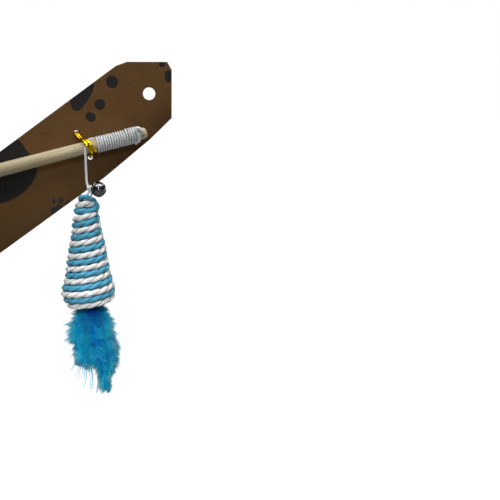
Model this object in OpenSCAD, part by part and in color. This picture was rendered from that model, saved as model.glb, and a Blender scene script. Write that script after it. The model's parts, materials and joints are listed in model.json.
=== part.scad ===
// Cat teaser wand: a wooden stick with an elastic cord wound on it, a bell and a
// paper rope cone with feathers hanging from the cord, and the hang card behind.
// Lengths are in millimetres and angles in degrees. +X is right, +Z is up, and the
// front of the card looks along -Y. The origin is the middle of the hand grip.

/* [Stick] */
// Length of the wooden stick
stick_len = 400; // [340:5:480]
// Diameter of the stick along the grip
stick_d = 8.4; // [7.4:0.1:9]
// Diameter at the tip
stick_tip_d = 7.3; // [6.4:0.1:8.4]
// Length over which the stick thins towards its tip
stick_thin_len = 110; // [60:5:160]
// Rounding of the stick's two ends
stick_edge = 0.6; // [0.2:0.1:1.2]
// How steeply the stick rises to the right
stick_tilt = 14.5; // [8:0.5:20]
// From the butt to the middle of the hand grip
grip_from_butt = 60; // [40:5:100]
// From the tip to the point where the card is tied on
tie_from_tip = 40; // [38:1:60]

/* [Elastic cord] */
// Diameter of the cord where it hangs
cord_d = 1.5; // [1.2:0.1:1.6]
// Diameter of the stretched cord on the stick
wound_d = 1.05; // [0.8:0.05:1.1]
// Number of turns on the stick
winding_turns = 18; // [12:1:18]
// Step from one turn to the next
winding_pitch = 1.55; // [1.5:0.01:1.6]
// From the tie to the first turn
winding_from_tie = 6.2; // [6:0.1:8]
// Number of turns that lie higher, over the cord's end
raised_turns = 6; // [3:1:8]
// How much higher these turns lie
raised_by = 0.35; // [0:0.05:0.8]
// Thickness of the knot beside the bell
knot_d = 2.6; // [2:0.1:2.8]

/* [Card] */
// Width of the card
card_w = 50; // [44:1:60]
// Length of the card
card_len = 200; // [160:5:240]
// Thickness of the card
card_t = 0.6; // [0.4:0.1:1]
// Angle at which the card rises to the right
card_angle = 35.5; // [30:0.5:40]
// How far the card's centre line passes above the tie
card_rise = 3.6; // [2:0.1:5]
// Diameter of the hang hole
hang_hole_d = 7.6; // [6:0.1:9]
// From the tie to the hang hole, along the card
hang_from_tie = 50.6; // [46:0.1:60]
// Diameter of the two holes for the tie
tie_hole_d = 3; // [2.6:0.1:3.6]

/* [Twist tie] */
// Diameter of each foil covered wire
wire_d = 1; // [0.8:0.05:1.1]
// From the tie's middle to the upper hole
upper_hole_reach = 10.5; // [9.8:0.1:13]
// From the tie's middle to the lower hole
lower_hole_reach = 6.6; // [6.4:0.1:9]

/* [Bell] */
// Diameter of the bell
bell_d = 9.3; // [8:0.1:9.6]
// Wall of the bell's two shells
bell_wall = 0.45; // [0.3:0.05:0.6]
// Diameter of the pellet that rattles inside
pellet_d = 2.5; // [2:0.1:3]
// Diameter of the eyelet's wire
eyelet_wire_d = 0.5; // [0.4:0.05:0.6]
// Radius of the eyelet's ring, to the middle of its wire
eyelet_r = 1.1; // [1.05:0.05:1.3]

/* [Cone] */
// Depth of the cone's top turn below the tie
cone_top = 29; // [29:0.5:36]
// Widest radius of the ropes, to the middle of a rope
cone_r = 14.95; // [13:0.05:17]
// Step between two turns of one rope
rope_pitch = 7.5; // [7.4:0.1:9]
// Thickness of each paper rope
rope_d = 3.3; // [2.8:0.1:3.4]
// Number of turns of each rope
rope_turns = 8.45; // [7.45:0.5:9.45]
// Wall of the rolled core
core_wall = 1; // [0.8:0.1:1.4]

/* [Feathers] */
// Length of the longest plume
plume_len = 55; // [40:1:70]
// Width of the three plumes together
plume_w = 36; // [28:1:44]
// Thickness of one plume
plume_t = 5; // [3:0.5:5.5]
// Diameter of a quill
quill_d = 1.1; // [0.8:0.1:1.2]
// Length of the bare quill between the glue and the plume
quill_len = 8.3; // [8:0.1:11]

/* [Hidden] */
$fn = 48;

// Clearance between a soft piece and what it lies on
soft_gap = 0.12;
// Clearance between two pieces that move against each other
run_gap = 0.2;
// Clearance of a piece that is glued in its seat
glue_gap = 0.05;
// How far a cut runs past the face that it opens
overrun = 1;

// The tie's middle lies on the stick's axis
tie_s = stick_len - grip_from_butt - tie_from_tip;
tie_pos = [tie_s * cos(stick_tilt), 0, tie_s * sin(stick_tilt)];

// The card lies just behind the wound cord, which is the thickest place
card_front = stick_tip_d / 2 + cord_d + raised_by + soft_gap;
card_back = card_front + card_t;

// Head of the card: places along and across it from the hang hole, as shares of its width
head_shares = [
    [-0.13, 0.5], [0.01, 0.46], [0.404, 0.178], [0.392, 0.071],
    [0.048, -0.396], [-0.322, -0.45], [-1.05, -0.5]
];
// Cut corners at the card's other end, as a share of its width
tail_cut_share = 0.12;

// Directions from the tie's middle to the two holes
upper_hole_angle = 123.4;
lower_hole_angle = -71;
// The tie's way round the stick: angle from the front over the top,
// and place along the stick as a share of the stick's diameter
tie_wrap_shares = [
    [62, 0], [38, 0.14], [14, 0.25], [-10, 0.33], [-34, 0.4], [-58, 0.43], [-82, 0.36]
];
// The tie comes close to the stick over this angle below its front
tie_close_angle = 60;
wire_step_share = 1.1;
wire_step = wire_step_share * wire_d;
twist_turns = 3;
twist_rings = 8;

// Route of the hanging cord below the tie, and of its end in the cone
exit_place = [0.8, -4.8, 0.2];
hanging_route = [
    [0.8, -4.8, -0.8], [0.9, -4.8, -4], [1, -4.8, -8], [1.1, -4.8, -12], [1.2, -4.8, -16],
    [1.3, -4.8, -20], [1.4, -4.8, -21.8], [1.6, -4.9, -23.2]
];
toy_route = [
    [1.6, -5, -25.4], [1.2, -5, -26.6], [0.7, -5, -27.8], [0.3, -5, -29.2], [0.3, -5, -32],
    [0.3, -5, -35], [0.3, -5, -37.6]
];
toy_cord_d = 1.2;
anchor_place = [0.3, -5, -38.6];
anchor_d = 3;
// The wound cord's end: a loop laid on the stick, its radius and its angle over the top
knot_loop_r = 1.05;
knot_loop_angle = 62;
// Centre of the knot beside the bell, and of its lower half
knot_place = [1.7, -5, -23.8];
knot_low_place = [1.5, -5, -25.2];
knot_low_share = 0.77;
// The cord's link through the eyelet
link_r = 1.5;
link_d = 0.7;

// The bell hangs on its eyelet, and its cap faces the eyelet
bell_pivot = [3.9, -5, -25.3];
bell_turn = -33;
bell_lift = 10;
bell_arm = bell_d / 2 + soft_gap + eyelet_wire_d / 2 + eyelet_r;
seam_w = 0.25;
seam_h = 0.7;
slit_w = 0.9;
slit_end_d = 1.5;
slit_angle = 62;
eyelet_foot_d = 1.1;
eyelet_foot_t = 0.2;
pellet_gap = 0.1;

// The toy's axis
toy_place = [0.3, -5, 0];
// The ropes' outline: depth as a share of the cone's height, radius as a share of its widest
cone_shares = [
    [0, 0.174], [0.0536, 0.247], [0.11, 0.348], [0.164, 0.421], [0.3125, 0.515],
    [0.491, 0.682], [0.729, 0.843], [0.824, 1], [0.893, 0.957], [0.9375, 0.883],
    [0.9747, 0.756], [1, 0.602], [1.1, 0.5]
];
// The cone is half a turn higher than its ropes have turns
cone_h = rope_pitch * (rope_turns + 1 / 2);
// Where the ropes start and how much sooner the blue one ends, in turns
blue_start = -1;
blue_sooner = 0.9;
white_start = -0.05;
// The ropes' top ends lie nearly level, clear of the bell
top_rise_share = 0.36;
core_gap = 0.35;
core_top_share = 0.066;
core_end_share = 0.885;
plug_top_share = 0.85;
plug_shares = [[0.887, 0.813], [0.945, 0.703], [0.971, 0.548]];
core_hole_r = toy_cord_d / 2 + run_gap;

// The glue holds the quills in the plug's flared hole
quill_hole_r = 1.9;
quill_flare = 1.9;
glue_t = 2;
quill_spread = 0.75;
// Directions of the left, middle and right quill round the toy's axis
quill_turns = [150, 270, 30];
feather_pivot_z = -cone_top - plug_top_share * cone_h - glue_t - run_gap;

// Plumes: along the plume's length, sideways as a share of the whole width, half width
// as a share of the whole width, thickness as a share of its own
plume_left_shares = [
    [0, -0.04, 0.03, 0.4], [0.06, -0.1, 0.12, 0.8], [0.16, -0.17, 0.19, 1], [0.3, -0.22, 0.23, 1],
    [0.45, -0.22, 0.22, 1], [0.6, -0.2, 0.17, 0.9], [0.72, -0.17, 0.1, 0.6], [0.78, -0.15, 0.04, 0.3]
];
plume_middle_shares = [
    [0, 0, 0.04, 0.4], [0.06, 0.01, 0.14, 0.8], [0.18, 0.02, 0.22, 1], [0.35, 0.04, 0.25, 1],
    [0.52, 0.1, 0.24, 1], [0.68, 0.16, 0.19, 0.9], [0.84, 0.2, 0.12, 0.7], [0.97, 0.23, 0.08, 0.5],
    [1, 0.24, 0.04, 0.3]
];
plume_right_shares = [
    [0, 0.05, 0.03, 0.4], [0.06, 0.14, 0.1, 0.8], [0.16, 0.26, 0.18, 1], [0.3, 0.33, 0.21, 1],
    [0.5, 0.35, 0.21, 1], [0.66, 0.34, 0.17, 0.9], [0.8, 0.32, 0.1, 0.6], [0.88, 0.3, 0.04, 0.3]
];
plume_sides = 12;
plume_back_y = toy_place[1] + plume_t / 2 + run_gap;
plume_front_y = toy_place[1] - plume_t / 2 - run_gap;

// Rings in one turn, and sides of a tube
cord_rings = 16;
rope_rings = 24;
tube_sides = 6;
free_cord_sides = 8;
// Angles round the stick at which the cord's way to the first turn starts and ends
lead_start = 30;
lead_end = 120;

function unit(v) = v / norm(v);
function ease(x) = x * x * (3 - 2 * x);
function tangent(path, i) = unit(path[min(i + 1, len(path) - 1)] - path[max(i - 1, 0)]);
function ring(c, t, side, rx, ry, sides) =
    let (n = unit(cross(t, side)), b = cross(t, n))
    [for (k = [0:sides - 1]) c + rx * cos(360 * k / sides) * n + ry * sin(360 * k / sides) * b];

// A closed tube along a path; side is a direction that no stretch of the path runs along
module sweep(path, rx, ry, sides, side) {
    last = len(path) - 1;
    points = [
        for (i = [0:last]) each ring(path[i], tangent(path, i), side, rx[i], ry[i], sides)
    ];
    walls = [
        for (i = [0:last - 1], k = [0:sides - 1])
            let (a = i * sides + k, b = i * sides + (k + 1) % sides)
            each [[a, b + sides, b], [a, a + sides, b + sides]]
    ];
    caps = [
        for (k = [1:sides - 2])
            each [[0, k, k + 1], [last * sides, last * sides + k + 1, last * sides + k]]
    ];
    polyhedron(points, concat(walls, caps));
}

module tube(path, d, sides, side) {
    radii = [for (p = path) d / 2];
    sweep(path, radii, radii, sides, side);
}

// A winding's path with a straight stretch as long as the tube is thick added at both ends.
// The first stretch rises by a share of the winding's own slope.
function straight_ends(path, d, rise_share = 1) =
    let (last = len(path) - 1, back = path[0] - path[1])
    concat(
        [path[0] + d * unit([back[0], back[1], rise_share * back[2]])],
        path,
        [path[last] + d * unit(path[last] - path[last - 1])]
    );

module at_tie() translate(tie_pos) children();

module at_toy() translate(tie_pos + toy_place) children();

// Inside, +Z runs along the stick, and the origin is the part's own
module along_stick() rotate([0, 90 - stick_tilt, 0]) children();

function stick_r(s) =
    lookup(s + grip_from_butt, [
        [0, stick_d / 2], [stick_len - stick_thin_len, stick_d / 2], [stick_len, stick_tip_d / 2]
    ]);

// A place beside the stick: s along it, a round it from the front over the top, r out from it
function round_stick(s, a, r) = [-r * sin(a), -r * cos(a), s];

// A place in the card's plane, given from the tie's middle
function tie_hole(reach, angle) = [
    -reach * sin(angle - stick_tilt), 0, tie_s + reach * cos(angle - stick_tilt)
];

module wooden_stick()
    color("#d8c6a4") along_stick() translate([0, 0, -grip_from_butt])
        rotate_extrude() polygon([
            [0, 0], [stick_d / 2 - stick_edge, 0], [stick_d / 2, stick_edge],
            [stick_d / 2, stick_len - stick_thin_len], [stick_tip_d / 2, stick_len - stick_edge],
            [stick_tip_d / 2 - stick_edge, stick_len], [0, stick_len]
        ]);

winding_s = tie_s + winding_from_tie;
raise_s = winding_s + (winding_turns - raised_turns) * winding_pitch;
exit_s = tie_s + exit_place[0] * cos(stick_tilt) + exit_place[2] * sin(stick_tilt);
function winding_at(a) =
    a < lead_end
    ? exit_s + (winding_s - exit_s) * ease(max(0, a - lead_start) / (lead_end - lead_start))
    : winding_s + winding_pitch * (a - lead_end) / 360;
function winding_rise(s) = raised_by * ease(min(1, max(0, (s - raise_s) / winding_pitch)));
winding_last = floor((lead_end - lead_start) / 360 * cord_rings + winding_turns * cord_rings);
winding_path = straight_ends([
    for (i = [0:winding_last])
        let (a = lead_start + 360 * i / cord_rings, s = winding_at(a))
        round_stick(s, a, stick_r(s) + wound_d / 2 + soft_gap + winding_rise(s))
], wound_d);
winding_end_s = winding_at(lead_start + 360 * winding_last / cord_rings);

// Least distance between points about one turn apart
winding_gap = min([
    for (i = [0:len(winding_path) - 1], j = [i + cord_rings - 4:i + cord_rings + 4])
        if (j < len(winding_path)) norm(winding_path[i] - winding_path[j])
]) - wound_d;

module cord_winding()
    color("#c9cccb") along_stick() tube(winding_path, wound_d, tube_sides, [0, 0, 1]);

// A loop of the cord's end, laid on the top of the stick past the last turn
knot_loop_s = winding_end_s + wound_d + knot_loop_r + wound_d / 2;
module tip_knot()
    color("#c9cccb") along_stick() {
        out = stick_r(knot_loop_s) + soft_gap + wound_d / 2;
        translate(round_stick(knot_loop_s, knot_loop_angle, out))
            rotate([0, 0, -90 - knot_loop_angle]) rotate([0, 90, 0])
            rotate_extrude() translate([knot_loop_r, 0]) circle(d = wound_d);
    }

module backing_card() {
    tail = -(card_len - head_shares[2][0] * card_w);
    cut = tail_cut_share * card_w;
    color("#6d5434") at_tie() translate([0, card_back, 0]) rotate([90, 0, 0])
        difference() {
            rotate([0, 0, card_angle]) translate([hang_from_tie, card_rise])
                linear_extrude(card_t) difference() {
                    polygon(concat(
                        [[tail + cut, card_w / 2]],
                        card_w * head_shares,
                        [[tail + cut, -card_w / 2], [tail, -card_w / 2 + cut], [tail, card_w / 2 - cut]]
                    ));
                    circle(d = hang_hole_d);
                }
            for (hole = [[upper_hole_reach, upper_hole_angle], [lower_hole_reach, lower_hole_angle]])
                rotate([0, 0, hole[1]]) translate([hole[0], 0, -overrun])
                    cylinder(d = tie_hole_d, h = card_t + 2 * overrun);
        }
}

// Over the cord the tie stands off by the cord's thickness, under the stick it lies closer
tie_over_r = stick_r(tie_s) + cord_d + wire_d / 2 + run_gap;
tie_under_r = stick_r(tie_s) + 2 * wire_d;
function tie_r(a) =
    let (share = min(1, max(0, (a + tie_close_angle) / tie_close_angle)))
    tie_under_r + (tie_over_r - tie_under_r) * ease(share);
function tie_route(shift) =
    let (
        up = tie_hole(upper_hole_reach, upper_hole_angle) + [0, 0, shift],
        low = tie_hole(lower_hole_reach, lower_hole_angle) + [0, 0, shift]
    )
    concat(
        [up + [0, card_back, 0], up + [0, card_front - wire_d, 0]],
        [
            for (w = tie_wrap_shares)
                round_stick(tie_s + w[1] * stick_d + shift, w[0], tie_r(w[0]))
        ],
        [low + [0, card_front - wire_d, 0], low + [0, card_back, 0]]
    );

module twist_tie()
    color("#d9b423") along_stick() for (side = [-1, 1])
        tube(tie_route(side * wire_step / 2), wire_d, tube_sides, [0, 0, 1]);

// The tie's two ends, twisted together behind the card from hole to hole
module tie_twist() {
    up = tie_hole(upper_hole_reach, upper_hole_angle);
    low = tie_hole(lower_hole_reach, lower_hole_angle);
    span = up - low;
    steps = twist_turns * twist_rings;
    color("#b8941c") along_stick()
        translate(low + [0, card_back + wire_d + 2 * soft_gap, 0])
        rotate([0, atan2(span[0], span[2]), 0])
        for (start = [0, 180])
            tube([
                for (i = [0:steps])
                    let (turn = start + 360 * i / twist_rings)
                    [wire_step / 2 * cos(turn), wire_step / 2 * sin(turn), norm(span) * i / steps]
            ], wire_d, tube_sides, [0, 0, 1]);
}

// Where the cord leaves the stick and turns down
module cord_bend() color("#d5d8d7") at_tie() translate(exit_place) sphere(d = cord_d);

module hanging_cord()
    color("#d5d8d7") at_tie() tube(hanging_route, cord_d, free_cord_sides, [0, 1, 0]);

module toy_cord()
    color("#e8e8e6") at_tie() tube(toy_route, toy_cord_d, free_cord_sides, [0, 1, 0]);

module hang_knot()
    color("#d5d8d7") at_tie() {
        translate(knot_place) sphere(d = knot_d);
        translate(knot_low_place) sphere(d = knot_d * knot_low_share);
        translate(bell_pivot - [link_r, 0, 0])
            rotate_extrude() translate([link_r, 0]) circle(d = link_d);
    }

module anchor_knot() color("#d5d8d7") at_tie() translate(anchor_place) sphere(d = anchor_d);

// Inside, the origin is the bell's centre and -Z points at the eyelet
module at_bell()
    at_tie() translate(bell_pivot) rotate([0, 90 - bell_lift, bell_turn])
        translate([0, 0, bell_arm]) children();

module half_shell()
    rotate_extrude() difference() {
        union() {
            circle(d = bell_d);
            square([bell_d / 2 + seam_w, seam_h / 2]);
        }
        circle(d = bell_d - 2 * bell_wall);
        translate([-bell_d, -bell_d / 2 - overrun]) square([bell_d, bell_d + 2 * overrun]);
        translate([-bell_d, -bell_d]) square([2 * bell_d, bell_d]);
    }

module bell_cap()
    color("#8a8d90") at_bell() difference() {
        mirror([0, 0, 1]) half_shell();
        translate([0, 0, -bell_d / 2 - overrun])
            cylinder(d = eyelet_wire_d + soft_gap, h = bell_wall + 2 * overrun);
    }

// Two crossed slits with a round hole at each end
module bell_cup()
    color("#8a8d90") at_bell() difference() {
        half_shell();
        for (turn = [0, 90]) rotate([0, 0, turn])
            translate([-bell_d / 2 * sin(slit_angle), -slit_w / 2, bell_d / 2 * cos(slit_angle)])
                cube([bell_d * sin(slit_angle), slit_w, bell_d]);
        for (turn = [0:90:270]) rotate([0, slit_angle, turn]) cylinder(d = slit_end_d, h = bell_d);
    }

module bell_eyelet()
    color("#9a9da0") at_bell() {
        translate([0, 0, -bell_arm]) rotate([90, 0, 0])
            rotate_extrude() translate([eyelet_r, 0]) circle(d = eyelet_wire_d);
        shank = bell_arm - eyelet_r;
        translate([0, 0, -shank])
            cylinder(d = eyelet_wire_d, h = shank - bell_d / 2 + bell_wall + eyelet_foot_t);
        translate([0, 0, -bell_d / 2 + bell_wall + soft_gap])
            cylinder(d = eyelet_foot_d, h = eyelet_foot_t);
    }

bell_centre = bell_pivot + bell_arm * [
    cos(bell_lift) * cos(bell_turn), cos(bell_lift) * sin(bell_turn), sin(bell_lift)
];
module bell_pellet()
    color("#b0b2b4") at_tie()
        translate(bell_centre - [0, 0, bell_d / 2 - bell_wall - pellet_gap - pellet_d / 2])
        sphere(d = pellet_d);

function cone_radius(depth) = cone_r * lookup(depth / cone_h, cone_shares);
function rope_place(depth, turn) = [
    cone_radius(depth) * cos(-90 - 360 * turn),
    cone_radius(depth) * sin(-90 - 360 * turn),
    -cone_top - depth
];

// A rope from one turn to another; at turn 0 it crosses the front at its first depth
function rope_path(first_depth, from_turn, to_turn) = straight_ends([
    for (i = [0:round((to_turn - from_turn) * rope_rings)])
        let (turn = from_turn + i / rope_rings)
        rope_place(first_depth + rope_pitch * turn, turn)
], rope_d, top_rise_share);

blue_path = rope_path(rope_pitch, blue_start, rope_turns - blue_sooner);
white_path = rope_path(rope_pitch / 2, white_start, rope_turns);

module blue_rope() color("#4fb0d2") at_toy() tube(blue_path, rope_d, tube_sides, [0, 0, 1]);

module white_rope() color("#f0f0ee") at_toy() tube(white_path, rope_d, tube_sides, [0, 0, 1]);

// Least distance from one turn to the next of the same rope, and between the two ropes
function turn_gap(path) = min([
    for (i = [0:len(path) - 1], j = [i + rope_rings - 4:i + rope_rings + 4])
        if (j < len(path)) norm(path[i] - path[j])
]) - rope_d;
ropes_gap = min([for (p = blue_path) min([for (q = white_path) norm(p - q)])]) - rope_d;

// The rolled core's outside, a rope's thickness inside the ropes' middle line
function core_radius(depth) = cone_radius(depth) - rope_d / 2 - core_gap;
core_depths = [
    core_top_share * cone_h,
    for (row = cone_shares) if (row[0] > core_top_share && row[0] < core_end_share) row[0] * cone_h,
    core_end_share * cone_h
];
module cone_core()
    color("#b59a6a") at_toy() rotate_extrude() polygon(concat(
        [for (depth = core_depths) [core_radius(depth), -cone_top - depth]],
        [
            for (i = [len(core_depths) - 1:-1:0])
                let (depth = core_depths[i])
                [max(core_hole_r, core_radius(depth) - core_wall), -cone_top - depth]
        ]
    ));

module base_plug() {
    top = -cone_top - plug_top_share * cone_h;
    seat = -cone_top - core_end_share * cone_h - glue_gap;
    inside = core_radius(core_end_share * cone_h) - core_wall - run_gap;
    low = -cone_top - plug_shares[2][0] * cone_h;
    color("#a98c5c") at_toy() rotate_extrude() polygon([
        [quill_hole_r, top], [inside, top], [inside, seat],
        for (p = plug_shares) [p[1] * cone_r, -cone_top - p[0] * cone_h],
        [quill_hole_r + quill_flare, low], [quill_hole_r, top - glue_t]
    ]);
}

module glue_bead()
    color("#d8d2b8") at_toy() translate([0, 0, -cone_top - plug_top_share * cone_h - glue_t])
        cylinder(r = quill_hole_r - glue_gap, h = glue_t);

// A bare quill from under the glue to its plume's first ring
module quill(row_shares, plume_y, turn) {
    start = [quill_spread * cos(turn), quill_spread * sin(turn), feather_pivot_z];
    end = [row_shares[0][1] * plume_w, plume_y - toy_place[1], feather_pivot_z - quill_len];
    path = [start, (start + end) / 2, end];
    color("#1c5f9e") at_toy() tube(path, quill_d, free_cord_sides, [0, 1, 0]);
}

module quill_left() quill(plume_left_shares, plume_back_y, quill_turns[0]);

module quill_middle() quill(plume_middle_shares, plume_front_y, quill_turns[1]);

module quill_right() quill(plume_right_shares, plume_back_y, quill_turns[2]);

// A plume's plain outer shape, from the end of its quill down
module plume(row_shares, plume_y) {
    top = feather_pivot_z - quill_len - 2 * run_gap;
    path = [
        for (row = row_shares)
            [row[1] * plume_w, plume_y - toy_place[1], top - row[0] * plume_len]
    ];
    half_widths = [for (row = row_shares) row[2] * plume_w];
    half_depths = [for (row = row_shares) row[3] * plume_t / 2];
    color("#1684b4") at_toy() sweep(path, half_widths, half_depths, plume_sides, [0, 1, 0]);
}

module plume_left() plume(plume_left_shares, plume_back_y);

module plume_middle() plume(plume_middle_shares, plume_front_y);

module plume_right() plume(plume_right_shares, plume_back_y);

echo(winding_gap = winding_gap, ropes_gap = ropes_gap);
echo(blue_gap = turn_gap(blue_path), white_gap = turn_gap(white_path));
echo(tie_pos = tie_pos, winding_end_s = winding_end_s);
echo(bell_centre = bell_centre, feather_pivot_z = feather_pivot_z);

wooden_stick();
cord_winding();
tip_knot();
backing_card();
twist_tie();
tie_twist();
cord_bend();
hanging_cord();
hang_knot();
toy_cord();
anchor_knot();
bell_cap();
bell_cup();
bell_eyelet();
bell_pellet();
cone_core();
base_plug();
blue_rope();
white_rope();
glue_bead();
quill_left();
quill_middle();
quill_right();
plume_left();
plume_middle();
plume_right();
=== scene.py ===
"""Cat teaser wand: a wooden stick with an elastic cord wound on it, a jingle bell, a paper rope cone
with feathers, and the card that the stick is tied to.

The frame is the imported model's, in metres: +X right, +Z up, -Y out of the card's front. Pieces are
shaped in millimetres, from the tie's middle, along the stick, or in the cone's or the bell's own
frame, and are put in the model's frame when their mesh is made.
"""

import json
import math

import bpy
import numpy as np
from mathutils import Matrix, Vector, geometry


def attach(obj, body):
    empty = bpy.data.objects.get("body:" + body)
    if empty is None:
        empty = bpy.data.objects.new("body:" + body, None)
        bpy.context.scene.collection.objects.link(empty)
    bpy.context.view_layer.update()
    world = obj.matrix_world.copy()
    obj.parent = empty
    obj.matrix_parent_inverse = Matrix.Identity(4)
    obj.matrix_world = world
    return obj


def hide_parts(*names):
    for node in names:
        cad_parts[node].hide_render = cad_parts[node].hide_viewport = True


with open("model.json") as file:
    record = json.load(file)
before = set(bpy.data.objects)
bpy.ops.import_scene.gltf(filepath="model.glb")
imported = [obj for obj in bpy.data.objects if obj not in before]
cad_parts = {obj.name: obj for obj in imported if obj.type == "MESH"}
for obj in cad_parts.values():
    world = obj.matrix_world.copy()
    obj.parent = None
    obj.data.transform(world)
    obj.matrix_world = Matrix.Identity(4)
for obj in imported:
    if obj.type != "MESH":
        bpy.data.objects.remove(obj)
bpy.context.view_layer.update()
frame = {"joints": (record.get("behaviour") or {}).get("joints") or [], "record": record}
joints = {j["name"]: j for j in frame["joints"]}
mounts = {m["name"]: m for m in frame["record"]["mounts"]}

MM = 0.001
TURN = 2 * math.pi
RIGHT, BACK, UP = np.eye(3)
WHITE = (1, 1, 1, 1)


def unit(v):
    return v / np.maximum(np.linalg.norm(v, axis=-1, keepdims=True), 1e-12)


def joint_place(name):
    return np.array(joints[name]["pos_m"], float)


def placer(start, right, back, up):
    """A function that puts places in millimetres along three directions into the model's frame."""
    axes = np.array((right, back, up)) * MM

    def place(places):
        return start + np.asarray(places, float) @ axes

    return place


# The stick's axis runs through the model's origin, and the tie's middle lies on it
TIE = joint_place("card_swivel")
STICK_WAY = unit(np.array(mounts["hand_grip"]["axis"], float))
STICK_OVER = np.cross(STICK_WAY, BACK)
TIE_S = float(TIE @ STICK_WAY) / MM
at_tie = placer(TIE, RIGHT, BACK, UP)
at_stick = placer(np.zeros(3), STICK_OVER, BACK, STICK_WAY)

# The cone's frame begins this far above its joint, at the tie's height
TOY_DROP = 30
TOY_UP = unit(np.array(joints["toy_spin"]["axis"], float))
at_toy = placer(joint_place("toy_spin") + TOY_UP * TOY_DROP * MM, np.cross(BACK, TOY_UP), BACK, TOY_UP)

# The bell's last direction runs from its eyelet's ring to its middle
BELL_MIDDLE = joint_place("pellet_roll")
BELL_WAY = unit(BELL_MIDDLE - joint_place("bell_swing"))
BELL_SIDE = unit(np.cross(UP, BELL_WAY))
at_bell = placer(BELL_MIDDLE, np.cross(BELL_WAY, BELL_SIDE), BELL_SIDE, BELL_WAY)


def round_stick(s, angle, r):
    """Places s along the stick, at an angle round it from the front over the top, r out from it."""
    s, angle, r = np.broadcast_arrays(np.asarray(s, float), np.radians(angle), r)
    return np.stack((r * np.sin(angle), -r * np.cos(angle), s), axis=-1)


def ease(x):
    """From 0 to 1 with a soft start and end."""
    x = np.clip(x, 0, 1)
    return x * x * (3 - 2 * x)


def hump(x, middle, width):
    return np.exp(-(((x - middle) / width) ** 2))


def turned(x, y, angle):
    """A place in a plane, turned about the origin by an angle in radians."""
    c, s = math.cos(angle), math.sin(angle)
    return c * x - s * y, s * x + c * y


def wobble(x, waves, seed):
    """A smooth random curve from -1 to 1 over x, with about this many waves per unit."""
    rng = np.random.default_rng(seed)
    x = np.asarray(x, float)
    total = np.zeros_like(x)
    for k in range(6):
        total += np.sin(x * waves * (0.4 + 0.32 * k) * TURN + rng.uniform(0, TURN))
    return total / 6


def interp_rows(x, at, rows):
    """The rows of a table that stands at some places, interpolated at x."""
    return np.column_stack([np.interp(x, at, column) for column in rows.T])


def run_length(path):
    """How far along a path each of its points lies."""
    return np.concatenate(([0], np.cumsum(np.linalg.norm(np.diff(path, axis=0), axis=1))))


def resample(path, step):
    """The same path in equal steps."""
    along = run_length(path)
    return interp_rows(np.linspace(0, along[-1], max(int(round(along[-1] / step)), 2) + 1), along, path)


def spline(a, b, c, d, t):
    """From b to c on a smooth curve that comes from a and goes on to d."""
    return 0.5 * (2 * b + (c - a) * t + (2 * a - 5 * b + 4 * c - d) * t**2 + (3 * b - a - 3 * c + d) * t**3)


def smooth(points, step):
    """A smooth path through the points, in equal steps."""
    p = np.asarray(points, float)
    p = np.vstack((2 * p[0] - p[1], p, 2 * p[-1] - p[-2]))
    t = np.linspace(0, 1, 24, endpoint=False)[:, None]
    parts = [spline(*four, t) for four in zip(p, p[1:], p[2:], p[3:])]
    return resample(np.vstack([*parts, p[-2:-1]]), step)


def loop(points, steps=6):
    """A smooth closed line through points of a plane, anticlockwise."""
    p = np.asarray(points, float)
    t = np.linspace(0, 1, steps, endpoint=False)[:, None]
    four = (np.roll(p, k, axis=0)[:, None] for k in (1, 0, -1, -2))
    line = spline(*four, t).reshape(-1, 2)
    after = np.roll(line, -1, axis=0)
    clockwise = np.sum(line[:, 0] * after[:, 1] - after[:, 0] * line[:, 1]) < 0
    return line[::-1] if clockwise else line


def ellipse(x, y, rx, ry, lean=0, count=44):
    """A closed line round a middle, with its half sizes and its lean in degrees."""
    t = np.linspace(0, TURN, count, endpoint=False)
    px, py = turned(rx * np.cos(t), ry * np.sin(t), math.radians(lean))
    return np.column_stack((x + px, y + py))


def circle(x, y, r, count):
    return ellipse(x, y, r, r, 0, count)


def in_outline(points, outline):
    """Which points lie inside a closed outline."""
    x, y = points[:, 0:1], points[:, 1:2]
    x0, y0 = outline.T
    x1, y1 = np.roll(x0, -1), np.roll(y0, -1)
    with np.errstate(divide="ignore", invalid="ignore"):
        cut = x0 + (y - y0) * (x1 - x0) / (y1 - y0)
    crossing = ((y0 > y) != (y1 > y)) & (x < cut)
    return crossing.sum(axis=1) % 2 == 1


class Shape:
    """Points and faces of a piece, with what its material and its baking need."""

    def __init__(self):
        self.points, self.faces, self.straight, self.tint = [], [], [], []
        self.pattern, self.strips, self.kinds = [], [], []
        self.count = 0

    def add(self, points, faces, straight=None, tint=None, pattern=None, strips=None, kinds=None):
        """Straight and tint have a row for each point, pattern and strips one for each face's corner."""
        n = len(points)
        corners = sum(len(f) for f in faces)
        self.points.append(points)
        self.faces.extend([[v + self.count for v in f] for f in faces])
        self.straight.append(points if straight is None else straight)
        self.tint.append(np.zeros(n) if tint is None else tint)
        self.pattern.append(np.zeros((corners, 2)) if pattern is None else pattern)
        self.strips.append(strips)
        self.kinds.extend([0] * len(faces) if kinds is None else kinds)
        self.count += n


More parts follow.
